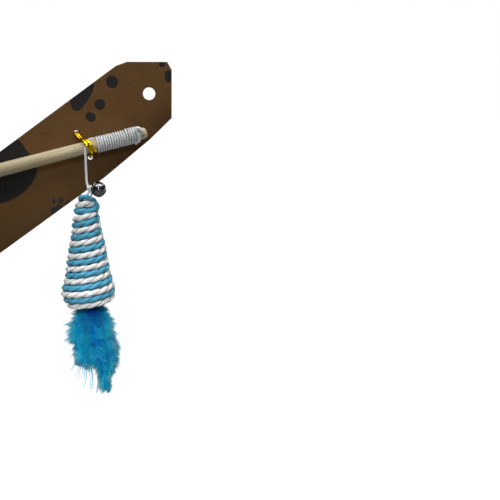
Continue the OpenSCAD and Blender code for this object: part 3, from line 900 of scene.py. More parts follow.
# The cone's radius in shares of the widest, by the share of its height from the top
CONE_SHARES = (
    (0, 0.174), (0.0536, 0.247), (0.11, 0.348), (0.164, 0.421), (0.3125, 0.515), (0.491, 0.682),
    (0.729, 0.843), (0.824, 1), (0.893, 0.957), (0.9375, 0.883), (0.9747, 0.756), (1, 0.602), (1.1, 0.5),
)
# Each rope's first depth on the cone, its first turn and its last, and the steps in a turn
BLUE_TURNS = (ROPE_PITCH, 0, 7.55)
WHITE_TURNS = (ROPE_PITCH / 2, -0.21, 8.45)
TURN_STEPS = 96
STRIPE_TILT = 0.05
ROPE_STRETCH = 1.02
ROPE_DROP = 0.3
# Rises and dips of the first turns: height, middle and width, the last two in turns
BLUE_HUMPS = ((1.1, 0.22, 0.2), (-0.7, 0, 0.14))
WHITE_HUMPS = ((0.45, 0.2, 0.25), (-0.3, 0, 0.2))
# A fuller turn of the white rope, and its thick start
WHITE_BULGE = (1.0, 7.5, 0.35)
WHITE_START_SHARE = 0.24
WHITE_START_LENGTH = 24
# The blue rope's end, curled over the cone's top, and where it is thinner: share, middle and width
BLUE_CURL = (
    (-2.6, 1.4, -32.2), (-2.9, -0.6, -30.4), (-2.3, -2.6, -29.3), (-0.9, -3.8, -28.9), (1.0, -4.1, -28.9),
    (2.9, -3.2, -29.7), (4.7, -1.0, -31.1), (6.1, -0.6, -32.9), (6.8, -1.0, -34.6), (6.5, -2.2, -36.1),
    (5.2, -3.6, -37.1),
)
BLUE_THIN = (0.18, 10, 6)
CREASE = 0.075


def rope_turns(first_depth, first, last, humps):
    """Turns round the cone, with each point's number of turns."""
    turn = np.arange(first, last, 1 / TURN_STEPS)
    depth = np.maximum(first_depth + ROPE_PITCH * turn, first_depth)
    r = CONE_R * np.interp(depth / CONE_H, *np.transpose(CONE_SHARES))
    angle = np.radians(-90 - 360 * turn)
    low = CONE_TOP + depth * ROPE_STRETCH + ROPE_DROP
    rise = sum(height * hump(turn, middle, width) for height, middle, width in humps)
    return np.column_stack((r * np.cos(angle), r * np.sin(angle), rise - low)), turn


def tilted(path):
    """The path with its right side raised."""
    return path + STRIPE_TILT * path[:, :1] * UP


def two_ply(path, thick, seed):
    """A rope of two twisted paper plies with creases along them."""
    along = run_length(path)
    slow = PLY_PITCH * (1 + 0.08 * wobble(along, 0.02, seed))
    twist = -np.concatenate(([0], np.cumsum(np.diff(along) / slow[1:]))) * TURN
    theta = np.arange(ROPE_SIDES) / ROPE_SIDES * TURN - twist[:, None]
    big = (ROPE_D / 2 * (1 + 0.07 * wobble(along, 0.05, seed + 1)) * thick)[:, None]
    ply, apart = 0.745 * big, 0.255 * big
    radius = apart * np.abs(np.cos(theta)) + np.sqrt(ply**2 - (apart * np.sin(theta)) ** 2)
    # Painted shade: this tint follows the groove between the plies, deepened in the creases' hollows.
    groove = 1 - np.abs(np.cos(theta)) ** 0.7
    rng = np.random.default_rng(seed + 2)
    for count in (5, 7, 11, 13, 17):
        phase = rng.uniform(0, TURN) + 2.2 * wobble(along, 0.06, seed + 3 + count)[:, None]
        swell = 0.6 + 0.4 * wobble(along, 0.11, seed + 40 + count)[:, None]
        crease = np.abs(np.sin(count / 2 * theta + phase)) - 0.5
        radius = radius + CREASE * (7 / (count + 2)) * crease * swell
        groove = groove - 0.16 * crease * swell
    return tube(
        Shape(), path, radius, ROPE_SIDES, outward=path * (1, 1, 0), twist=twist, cap=0.5,
        tint=np.clip(groove, 0, 1),
    )


def add_ropes():
    down, _ = rope_turns(*BLUE_TURNS, BLUE_HUMPS)
    blue = smooth(np.vstack((BLUE_CURL, tilted(down)[::4])), ROPE_STEP)
    share, middle, width = BLUE_THIN
    shape = two_ply(blue, 1 - share * hump(run_length(blue), middle, width), 21)
    make_piece("rope_blue", shape, at_toy, "toy", [BLUE_PAPER], "blue_rope")
    way, turn = rope_turns(*WHITE_TURNS, WHITE_HUMPS)
    height, middle, width = WHITE_BULGE
    way[:, :2] *= (1 + height * hump(turn, middle, width) / CONE_R)[:, None]
    white = resample(tilted(way), ROPE_STEP)
    thick = 1 + WHITE_START_SHARE * (1 - ease(run_length(white) / WHITE_START_LENGTH))
    shape = two_ply(white, thick, 61)
    make_piece("rope_white", shape, at_toy, "toy", [WHITE_PAPER], "white_rope")


# The card, in its own plane from the tie's middle: x right and y up
CARD_W = 50
CARD_LEN = 200
CARD_FRONT = 5.62
CARD_BACK = 6.22
CARD_ANGLE = math.radians(35.5)
HANG_PLACE = (50.6, 3.6)
HANG_R = 3.8
TAIL_CUT = 6
# The tie's holes: each one's distance from the tie's middle and its direction in degrees
TIE_HOLES = ((10.5, 123.4), (6.6, -71))
TIE_HOLE_R = 1.5
# The head's corners from the hang hole, in shares of the width
HEAD_SHARES = (
    (-0.13, 0.5), (0.01, 0.46), (0.404, 0.178), (0.392, 0.071), (0.048, -0.396), (-0.322, -0.45),
    (-1.05, -0.5),
)
# Points inside the card that keep its triangles even
CARD_GRID = ((-190, 90), (-130, 80))
CARD_GRID_STEP = 5.0
# Paw prints: the pads' outlines, and each toe's middle, half sizes and lean in degrees
PADS = (
    (
        (-42.1, 5.5), (-40.0, 3.1), (-36.9, -1.6), (-34.0, -5.2), (-31.5, -9.3), (-30.9, -13.2),
        (-31.6, -17.3), (-33.9, -21.6), (-37.2, -25.6), (-41.5, -29.1), (-46.6, -32.3), (-52.3, -34.4),
        (-59, -34.9), (-66, -33), (-72.5, -28.5), (-77.4, -21.5), (-79.6, -13), (-78.6, -4), (-74, 4),
        (-65.5, 10), (-55, 12), (-47, 10),
    ),
    (
        (4.9, 40.2), (5.9, 37.6), (5.4, 35.0), (3.7, 31.4), (1.8, 28.4), (-0.5, 25.5), (-2.4, 23.1),
        (-4.6, 22.0), (-6.8, 22.4), (-8.3, 24.2), (-8.7, 26.6), (-8.9, 29), (-8, 32), (-5.6, 36),
        (-2, 40), (2, 42),
    ),
    (
        (-23.6, -39.2), (-22.9, -38.1), (-21.4, -37.3), (-19.1, -36.3), (-16.9, -35.8), (-16.0, -36.8),
        (-16.6, -39), (-19, -41.6), (-21.6, -42.4), (-23.2, -41),
    ),
    (
        (48.9, 44.1), (49.8, 45.8), (52.0, 46.3), (54.7, 45.9), (55.4, 42.6), (54.6, 39.3), (50.2, 39.4),
        (48.9, 41.1),
    ),
    (
        (-14.3, -35.8), (-14.0, -34.4), (-13.0, -33.4), (-12.0, -33.1), (-11.2, -33.9), (-11.6, -35.8),
        (-13.1, -36.8),
    ),
)
TOES = (
    (16.8, 39.4, 3.65, 3.8, 20), (9.1, 25.9, 3.25, 3.35, 0), (3.2, 18.3, 3.25, 2.8, -35),
    (47.3, 49.9, 1.9, 1.85, 0), (-21.2, -33.6, 1.1, 1.6, 10), (-16.8, -33.0, 1.4, 1.9, -30),
    (-85.5, -31, 6.6, 8.2, 40), (-88.5, -10.5, 6.2, 8, 80), (-84, 9.5, 6, 7.6, -60),
    (-72, -47, 6.4, 7.8, 15),
)


def card_outline():
    """The card's outline, clockwise from the upper corner of its tail."""
    half = CARD_W / 2
    end = max(x for x, _ in HEAD_SHARES) * CARD_W - CARD_LEN
    head = [(x * CARD_W, y * CARD_W) for x, y in HEAD_SHARES]
    tail = [(end + TAIL_CUT, -half), (end, -half + TAIL_CUT), (end, half - TAIL_CUT)]
    flat = np.array([(end + TAIL_CUT, half), *head, *tail]) + HANG_PLACE
    return np.column_stack(turned(*flat.T, CARD_ANGLE))


def add_card():
    outline = card_outline()[::-1]
    holes = [circle(*turned(*HANG_PLACE, CARD_ANGLE), HANG_R, 56)]
    holes += [circle(*turned(reach, 0, math.radians(way)), TIE_HOLE_R, 32) for reach, way in TIE_HOLES]
    marks = [loop(pad) for pad in PADS] + [ellipse(*toe) for toe in TOES]
    grid = np.stack(np.meshgrid(*(np.arange(*ends, CARD_GRID_STEP) for ends in CARD_GRID)), -1)
    grid = grid.reshape(-1, 2)
    flat, tris, kinds = plate(outline, holes, marks, grid[in_outline(grid, outline)])
    n = len(flat)
    sides, rim = thick_plate(tris, n)
    faces = sides + rim
    x, z = np.tile(flat, (2, 1)).T
    points = np.column_stack((x, np.repeat((CARD_FRONT, CARD_BACK), n), z))
    along, across = turned(x, z, -CARD_ANGLE)
    straight = np.column_stack((along, across, np.repeat((0, CARD_BACK - CARD_FRONT), n)))
    pattern = np.array([(along[v], across[v] if v < n else -across[v]) for f in faces for v in f])
    shape = Shape()
    shape.add(points, faces, straight, pattern=pattern, kinds=kinds + [0] * len(tris) + [2] * len(rim))
    make_piece(
        "hang_card", shape, at_tie, "card", [KRAFT, INK, CARD_EDGE], "backing_card",
        flat_faces=True,
    )


# The gold tie's two foil strips over the stick: how far they lean along it, in shares of its
# thickness, by the angle round it in degrees
TIE_SHARES = (
    (100, -0.04), (82, 0.1), (62, 0.2), (42, 0.3), (20, 0.4), (-4, 0.49), (-28, 0.56), (-52, 0.58),
    (-76, 0.54), (-100, 0.44), (-125, 0.28),
)
# How far apart its strips are on the stick, in shares of their step, by the same angle, and at the holes
TIE_FAN = ((-125, 0.7), (-50, 1.2), (40, 0.95), (100, 0.7))
TIE_AT_UPPER, TIE_AT_LOWER = 0.6, 0.5
TIE_STEP = 2.05
TIE_ENTRY = 1.3
TIE_GAP = 0.2
TIE_LIFT = 1.2
# How far in front of the card, and how far behind it, the strips turn towards the stick
TIE_BEFORE_UPPER, TIE_BEFORE_LOWER, TIE_BEHIND = 1, 0.6, 0.4
FOIL_W = 1.9
FOIL_H = 1.2
FOIL_SIDES = 20
FOIL_STEP = 0.22
FOIL_WAVES = 0.04
# The strips' twisted ends behind the card
TWIST_TURNS = 3
TWIST_GAP = 1.15
TWIST_REACH = 0.5
TWIST_R = 0.62
TWIST_SWELL = 0.05
TWIST_FLAT = 0.72


def hole_on_stick(reach, way):
    """The middle of one of the tie's holes in the stick's frame."""
    x, z = turned(reach, 0, math.radians(way))
    place = at_tie((x, 0, z))
    return np.array((place @ STICK_OVER, 0, place @ STICK_WAY)) / MM


def crinkles(n, seed):
    """Creases of foil on a tube's rings and sides, about as high as wide."""
    coarse = np.random.default_rng(seed).normal(0, 1, (n // 6 + 2, FOIL_SIDES // 4))
    rows = np.linspace(0, len(coarse) - 1.001, n)
    before, part = rows.astype(int), (rows % 1)[:, None]
    fine = np.repeat(coarse[before] * (1 - part) + coarse[before + 1] * part, 4, axis=1)
    return (fine + np.roll(fine, 1, 1) + np.roll(fine, 2, 1)) / 3


def half_box(index):
    return (0, index / 2, 1, (index + 1) / 2)


def add_tie_strip(shape, index, up, low):
    """One strip from behind the card through a hole, over the stick and back through the other hole."""
    shift = np.array((0, 0, (index - 0.5) * TIE_STEP))
    over = []
    for angle, share in TIE_SHARES:
        r = stick_r(TIE_S) + FOIL_H / 2 + TIE_GAP + TIE_LIFT * ease((angle + 45) / 60)
        fan = np.interp(angle, *np.transpose(TIE_FAN))
        over.append(round_stick(TIE_S + share * 2 * STICK_R, angle, r) + shift * fan)
    first = up + shift * TIE_AT_UPPER
    last = low + shift * TIE_AT_LOWER + TIE_ENTRY * RIGHT
    route = (
        first + (CARD_BACK + TIE_BEHIND) * BACK, first + (CARD_FRONT - TIE_BEFORE_UPPER) * BACK, *over,
        last + (CARD_FRONT - TIE_BEFORE_LOWER) * BACK, last + (CARD_BACK + TIE_BEHIND) * BACK,
    )
    path = smooth(route, FOIL_STEP)
    along = run_length(path)
    outward = path * (1, 1, 0)
    width = 1 + 0.06 * wobble(along, 0.12, 80 + index)
    radius = FOIL_W / 2 * width[:, None] * (1 + 0.012 * crinkles(len(path), 70 + index))
    path = path + outward / STICK_R * FOIL_WAVES * wobble(along, 0.3, 90 + index)[:, None]
    tube(
        shape, path, radius, FOIL_SIDES, outward=outward, flat=FOIL_H / FOIL_W, cap=0.4,
        strip_box=half_box(index),
    )


def add_tie():
    up, low = (hole_on_stick(*hole) for hole in TIE_HOLES)
    strips, ends = Shape(), Shape()
    span = up - low
    side = np.cross(unit(span), BACK)
    t = np.linspace(-0.02, 1.02, 150)
    for index in range(2):
        add_tie_strip(strips, index, up, low)
        turn = (t * TWIST_TURNS + index / 2)[:, None] * TURN
        outward = np.cos(turn) * side + np.sin(turn) * BACK
        path = low + (CARD_BACK + TWIST_GAP) * BACK + span * t[:, None] + TWIST_REACH * outward
        radius = TWIST_R + TWIST_SWELL * wobble(t, 8, 100 + index)
        tube(ends, path, radius, outward=outward, flat=TWIST_FLAT, strip_box=half_box(index))
    make_piece("foil_tie", strips, at_stick, "card", [FOIL], "twist_tie")
    make_piece("foil_twist", ends, at_stick, "card", [FOIL], "tie_twist")


# The bell: two shells with a rolled seam, crossed slits and a wire eyelet. The slits' reach and
# the cap's hole are degrees from the pole.
BELL_R = 4.65
BELL_WALL = 0.45
SEAM_W = 0.25
SEAM_H = 0.7
SEAM_ROUND = 0.16
SEAM_SINK = 0.12
SEAM_GAP = 0.02
SLIT_W = 0.9
SLIT_END_D = 1.5
SLIT_ANGLE = 62
# The eyelet: its middle's distance from the bell's, its ring, its wire, and the rivet inside the cap
BELL_ARM = 6.12
EYELET_R = 1.1
EYELET_D = 0.5
EYELET_STEP = 0.1
# The shank's places from the bell's top, and its end from the shell's inner face
SHANK_OUT, SHANK_IN, SHANK_END = -0.05, 0.3, 0.1
RIVET_R = 0.55
RIVET_GAP = 0.12
RIVET_H = 0.2
CAP_HOLE = 3.8
SHELL_SIDES = 144
SHELL_RINGS = range(4, 90, 3)


def half_bell(holes, facing):
    """One thin half of the bell's ball, with holes given on its unrolled face in degrees."""
    rings = [circle(0, 0, a, max(12, int(a * 1.5))) for a in SHELL_RINGS]
    extra = np.vstack([(0.0, 0.0), *rings])
    for hole in holes:
        extra = extra[~in_outline(extra, hole)]
    flat, tris, _ = plate(circle(0, 0, 90, SHELL_SIDES), holes, [], extra)
    polar, turn = np.radians(np.hypot(*flat.T)), np.arctan2(flat[:, 1], flat[:, 0])
    ball = np.column_stack((
        np.sin(polar) * np.cos(turn), np.sin(polar) * np.sin(turn), facing * np.cos(polar)
    ))
    if facing < 0:
        tris = [t[::-1] for t in tris]
    sides, rim = thick_plate(tris, len(flat))
    shape = Shape()
    shape.add(np.vstack((ball * BELL_R, ball * (BELL_R - BELL_WALL))), sides + rim)
    inner, outer = BELL_R - SEAM_SINK, BELL_R + SEAM_W - SEAM_ROUND
    seam = [(inner, SEAM_GAP)] + [
        (outer + SEAM_ROUND * math.cos(a), SEAM_H / 4 + (SEAM_H / 4 - SEAM_GAP) * math.sin(a))
        for a in np.linspace(-math.pi / 2, math.pi / 2, 9)
    ] + [(inner, SEAM_H / 2)]
    seam = np.array(seam) * (1, facing)
    lathe(shape, seam if facing < 0 else seam[::-1], SHELL_SIDES)
    return shape


def slit_cross():
    """The two crossed slits with round ends, unrolled on the cup's face in degrees."""
    per_mm = math.degrees(1 / BELL_R)
    half, end = SLIT_W / 2 * per_mm, SLIT_END_D / 2 * per_mm
    reach = SLIT_ANGLE - math.sqrt(end**2 - half**2)
    open_angle = math.asin(half / end)
    arc = np.linspace(-math.pi + open_angle, math.pi - open_angle, 22)[1:-1]
    arm = [(half, -half), (reach, -half)]
    arm += [(SLIT_ANGLE + end * math.cos(a), end * math.sin(a)) for a in arc]
    arm += [(reach, half)]
    return np.array([turned(x, y, math.radians(90 * k)) for k in range(4) for x, y in arm])


def add_bell():
    cap = half_bell([circle(0, 0, CAP_HOLE, 24)], -1)
    make_piece("bell_top", cap, at_bell, "bell", [BELL_METAL], "bell_cap")
    cup = half_bell([slit_cross()], 1)
    make_piece("bell_slotted", cup, at_bell, "bell", [BELL_METAL], "bell_cup")
    t = np.linspace(0, TURN, 61)
    ring = np.column_stack((EYELET_R * np.cos(t), 0 * t, EYELET_R * np.sin(t) - BELL_ARM))
    shape = tube(Shape(), ring, EYELET_D / 2, 14, strip_box=(0, 0, 1, 0.5))
    inside = BELL_WALL - BELL_R
    shank = (EYELET_R - BELL_ARM, SHANK_OUT - BELL_R, SHANK_IN - BELL_R, inside + SHANK_END)
    shank = smooth([z * UP for z in shank], EYELET_STEP)
    tube(shape, shank, EYELET_D / 2, 14, strip_box=(0, 0.5, 1, 0.75))
    rivet = smooth([(inside + RIVET_GAP) * UP, (inside + RIVET_GAP + RIVET_H) * UP], EYELET_STEP)
    tube(shape, rivet, RIVET_R, 20, cap=0.1, strip_box=(0, 0.75, 1, 1))
    make_piece("bell_ring", shape, at_bell, "bell", [BELL_METAL], "bell_eyelet")


# Feathers: each shaft's way from the tie's middle
SHAFTS = {
    "left": (
        (2.4, -4.0, -96.5), (0.4, -4, -101), (-2, -4, -106), (-6, -3.5, -118), (-8.5, -3, -130),
        (-9, -3, -139),
    ),
    "middle": (
        (2.6, -6.0, -96.5), (3.2, -6.5, -108), (6.0, -6.8, -126), (9.3, -6.4, -142), (11.8, -6, -152.5),
    ),
    "right": (
        (3.4, -4.5, -96.5), (5.6, -4.2, -102), (8.2, -4, -108), (12, -3.5, -122), (13.6, -3.5, -135),
        (12.8, -4, -144),
    ),
}
# The dense down of each plume: its depth, its half thickness and its outline from the tie's middle
MASSES = {
    "left": (-4.0, 2.8, (
        (2.6, -97), (-2, -97), (-6.6, -98.5), (-9.2, -102), (-11.2, -107), (-13, -111.4), (-14, -116),
        (-13.4, -120.6), (-11.4, -124), (-9.8, -127.6), (-9.2, -131.5), (-8.6, -134.6), (-6.4, -136),
        (-3.8, -137.6), (-1.2, -139.6), (0.8, -138.4), (2, -131), (2.2, -119), (2.4, -106),
    )),
    "middle": (-6.2, 3.0, (
        (-2.8, -97), (-3.4, -104), (-3.2, -112), (-2.4, -122), (-1, -131), (0.8, -137.4), (3, -139.6),
        (4.6, -142.6), (5.2, -146), (5.2, -150.4), (6, -153.4), (8, -154.2), (10.4, -153.6),
        (12.6, -151.6), (12.8, -148.4), (12.9, -145), (13.4, -138.7), (12.6, -130), (11.4, -120),
        (10.2, -110), (8.8, -102), (7.4, -97),
    )),
    "right": (-4.0, 2.8, (
        (4, -97), (9.6, -97.6), (12, -101.6), (13.8, -103.8), (15.4, -107), (15.6, -110.6),
        (15.8, -114), (16.6, -118), (17.2, -122), (18.4, -126.4), (18.4, -130), (17.6, -134),
        (15.9, -138.6), (13.6, -142.6), (11, -141.8), (8, -134), (6, -122), (4.4, -110),
    )),
}
# Long loose barbs, mostly at the lower left
WISPS = {
    "left": (
        ((-9.4, -3.4, -127.5), (-11, -3.6, -129.5), (-13, -3.8, -131.2), (-14.4, -4, -132)),
        ((-9.2, -3.2, -131), (-10.4, -3.2, -135.5), (-12.4, -3.4, -138.8), (-14.6, -3.6, -139.9)),
        ((-8.6, -3.1, -132), (-9.6, -3.2, -135.6), (-11, -3.2, -138.4), (-12.2, -3.2, -139.4)),
        ((-7, -3.5, -135), (-7.6, -3.6, -138), (-8.8, -3.8, -141.2), (-9.9, -3.9, -143.6)),
        ((-5.4, -3, -136), (-5.2, -3.2, -139), (-5.6, -3.4, -142), (-6.2, -3.5, -144.6)),
        ((-3.6, -3, -137), (-3, -3.2, -142), (-3.6, -3.4, -147), (-5.2, -3.5, -151.2), (-4.2, -3.5, -150.6)),
        ((-6.2, -3, -134), (-6.6, -3.2, -138), (-7.6, -3.4, -142), (-8, -3.5, -146.4)),
        ((-4.4, -3, -135), (-4, -3.2, -140), (-4.6, -3.4, -145), (-4.8, -3.5, -148.4)),
        ((-1.8, -3, -136), (-1.2, -3.2, -141), (-0.8, -3.4, -146), (-0.6, -3.5, -152.8)),
        ((-12.6, -3.6, -109), (-14.6, -3.8, -110), (-16.2, -4, -110.6), (-17.4, -4, -110.9)),
        ((-13.6, -3.6, -115), (-15.2, -3.7, -116), (-17, -3.8, -116.4)),
        ((-13.4, -3.2, -119), (-15, -3.3, -119.8), (-16.7, -3.4, -120.4)),
    ),
    "middle": (
        ((0.2, -6, -136), (0.9, -5.9, -142), (0.9, -5.8, -147), (0.2, -5.8, -151.2)),
        ((0.8, -6.2, -137), (1.3, -6, -143), (1.0, -5.9, -147.6), (1.6, -5.8, -151.6)),
        ((4.6, -6.4, -142), (4.5, -6.2, -147), (3.8, -6, -151), (2.8, -6, -154.8)),
        ((4.9, -6.6, -143), (4.6, -6.4, -148), (4.2, -6.2, -152), (3.6, -6, -154.4)),
    ),
    "right": (
        ((16.2, -3.6, -117), (17.6, -3.6, -116.2), (19.2, -3.8, -114.8), (20.8, -4, -114.1)),
        ((16.8, -3.6, -120), (18.2, -3.6, -119.8), (19.8, -3.8, -119.5)),
        ((17.6, -3.6, -124), (19.2, -3.7, -124), (20.8, -3.8, -124.7)),
    ),
}
FEATHER_SEED = 200
SHAFT_STEP = 0.5
DOWN_SHAFT_R = 0.36
OUTLINE_STEPS = 12
OUTLINE_STEP = 0.3
# How far a barb's root lies above its end for each millimetre out, by the end's height
DROOP_SHARES = ((-155, 3.2), (-142, 1.5), (-130, 0.9), (-118, 0.45), (-108, 0.05), (-98, -0.2))
LOWEST_ROOT = 2.5
# The share of the half thickness by height
HALF_SHARES = ((-155, 0.35), (-146, 0.65), (-132, 1.05), (-116, 1.3), (-104, 1), (-97, 0.5))
MASS_STEPS = 420
MASS_RINGS = 15
# How rough the dense down is and how high its ridges are, in millimetres
ROUGH = 0.2
RIDGE = 0.55
# How far the dense down's edge lies inside the outline, where its span is this long, and how uneven it is
DRAWN_IN = 2.5
DRAWN_SPAN = 5
EDGE_ROUGH = 0.15
# Tufts: edge points in each, how deep their tips lie, and how far these reach past the edge by height
TUFT_STEPS = 12
TUFT_DEPTH = 1.3
BEYOND = ((-155, 1.6), (-140, 2.6), (-120, 3.8), (-104, 3.8), (-98, 3.2))
# The hairs over the dense down
HAIRS = 24000
HAIR_R = 0.07
HAIR_LENGTHS = (1.4, 2.8)
# The hairs that float past its edge
HALO_HAIRS = 7500
HALO_R = 0.032
HALO_SHORT, HALO_LONG = 1.2, 6.0
# The barbs, how far from the plume's depth they begin and end, and the fine hairs on them
BARBS = 220
BARB_R = 0.08
BARB_TIP_R = 0.012
BARB_FROM, BARB_TO = 0.8, 0.6
BARB_STRAY = 0.45
BARB_FLUFF_STEP, BARB_FLUFF = 0.14, 1.0
WISP_R = 0.3
WISP_STEP = 1.0
WISP_PALE = 0.36
WISP_FLUFF_STEP, WISP_FLUFF = 0.25, 0.7
FLUFF_R = 0.036
# Where each lies on the baking map: left, bottom, right and top
SHAFT_STRIP = 0.04
BARB_STRIP = 0.16
MASS_BOX = (0, 0.17, 1, 0.38)
FLUFF_BOX = (0, 0.4, 1, 0.6)
HALO_BOX = (0, 0.6, 1, 0.62)
HAIR_BOX = (0, 0.62, 1, 1)
# How strong the lighter and darker streaks are
STREAK = 0.36

# How pale the down is: a grid in x and z, the shares by the distance inside the edge, and its deep places
PALE_CELL = 0.5
PALE_X = np.arange(-24, 30, PALE_CELL)
PALE_Z = np.arange(-164, -90, PALE_CELL)
PALE_SHARES = ((-2.5, 1), (0, 0.9), (1.5, 0.76), (3.5, 0.54), (6.5, 0.36))
DEEP_TOP, DEEP_TOP_H = -113, 11
DEEP_MIDDLE, DEEP_W = 3, 8
DEEP_SHAFT_W = 2.8
DEEP_PATCH = 11


def pale_map():
    """How pale the down is on the grid: least inside the plumes, most past their edge."""
    lines = [loop(corners, OUTLINE_STEPS) for _, _, corners in MASSES.values()]
    bare = []
    for line in lines:
        covered = [in_outline(line, other) for other in lines if other is not line]
        bare.append(line[~np.any(covered, axis=0)])
    x, z = (a.ravel() for a in np.meshgrid(PALE_X, PALE_Z, indexing="ij"))
    spots = np.column_stack((x, z))
    inside = np.any([in_outline(spots, line) for line in lines], axis=0)
    away = np.sqrt(np.min(np.sum((spots[:, None] - np.vstack(bare)) ** 2, axis=2), axis=1))
    pale = np.interp(np.where(inside, away, -away), *np.transpose(PALE_SHARES))
    pale *= 1 - 0.95 * ease((z - DEEP_TOP) / DEEP_TOP_H) * hump(x, DEEP_MIDDLE, DEEP_W)
    shaft = smooth(SHAFTS["middle"], SHAFT_STEP)[::-1]
    middle = np.interp(z, shaft[:, 2], shaft[:, 0])
    patches = 0.45 + 0.55 * wobble(z / DEEP_PATCH, 1, 31)
    pale *= 1 - 0.8 * patches * hump(x, middle, DEEP_SHAFT_W)
    return pale.reshape(len(PALE_X), len(PALE_Z))


def pale_at(points, table):
    i = np.clip((points[..., 0] - PALE_X[0]) / PALE_CELL, 0, len(PALE_X) - 1.001)
    k = np.clip((points[..., 2] - PALE_Z[0]) / PALE_CELL, 0, len(PALE_Z) - 1.001)
    a, b = i.astype(int), k.astype(int)
    u, v = i - a, k - b
    low = table[a, b] * (1 - v) + table[a, b + 1] * v
    high = table[a + 1, b] * (1 - v) + table[a + 1, b + 1] * v
    return low * (1 - u) + high * u


def streaks(index, q, seed):
    """Lighter and darker streaks that follow the barbs."""
    return 0.6 * wobble(index / 6, 1, seed + 5) + 0.5 * wobble(index / 17 + 1.5 * q, 1, seed + 6)


def needles(shape, roots, tips, widths, root_tints, tip_tints, box):
    """Adds thin closed three sided hairs from roots to tips."""
    n = len(roots)
    ways = unit(tips - roots)
    tilt = unit(np.cross(ways, UP + 0.3 * BACK))
    other = np.cross(ways, tilt)
    points = np.empty((n, 4, 3))
    for k in range(3):
        a = TURN * k / 3
        points[:, k] = roots + (math.cos(a) * tilt + math.sin(a) * other) * widths[:, None]
    points[:, 3] = tips
    corners = np.array(((0, 2, 1), (0, 1, 3), (1, 2, 3), (2, 0, 3)))
    faces = ((np.arange(n) * 4)[:, None, None] + corners).reshape(-1, 3).tolist()
    grid = math.ceil(math.sqrt(n))
    cell = np.stack((np.arange(n) % grid, np.arange(n) // grid), -1) / grid
    spots = np.array(((0.05, 0.1), (0.05, 0.5), (0.05, 0.9), (0.95, 0.5))) / grid
    strips = in_box((cell[:, None] + spots[corners.ravel()]).reshape(-1, 2), box)
    tint = np.column_stack((root_tints, root_tints, root_tints, tip_tints)).ravel()
    shape.add(points.reshape(-1, 3), faces, tint=tint, strips=strips)


def fluff(barb, rng, step, longest, first=0.0):
    """The roots, tips and widths of the fine hairs along a barb, from a share of its length on."""
    t = np.linspace(0, 1, len(barb))
    n = max(int(run_length(barb)[-1] * (1 - first) / step), 3)
    u = first + (1 - first) * (np.arange(n) + rng.uniform(0, 1, n)) / n
    roots = interp_rows(u, t, barb)
    run = unit(interp_rows(u, t, unit(np.gradient(barb, axis=0))))
    spin = rng.uniform(0, TURN, n)[:, None]
    flat = unit(np.cross(run, BACK))
    swing = np.cos(spin) * flat + np.sin(spin) * np.cross(run, flat)
    lean = rng.uniform(0.6, 1.6, n)[:, None]
    reach = longest * rng.uniform(0.45, 1.0, n) * (1 - 0.5 * u**2)
    return roots, roots + unit(run * lean + swing) * reach[:, None], FLUFF_R * (1 - 0.35 * u)


def barb_roots(edge, shaft):
    """Where on the shaft the barbs that end at these edge places (x and z) begin."""
    line = shaft[np.argsort(shaft[:, 2])]
    away = np.abs(edge[:, 0] - np.interp(edge[:, 1], line[:, 2], line[:, 0]))
    z = edge[:, 1] + np.interp(edge[:, 1], *np.transpose(DROOP_SHARES)) * away
    return interp_rows(np.clip(z, line[0, 2] + LOWEST_ROOT, line[-1, 2]), line[:, 2], line)


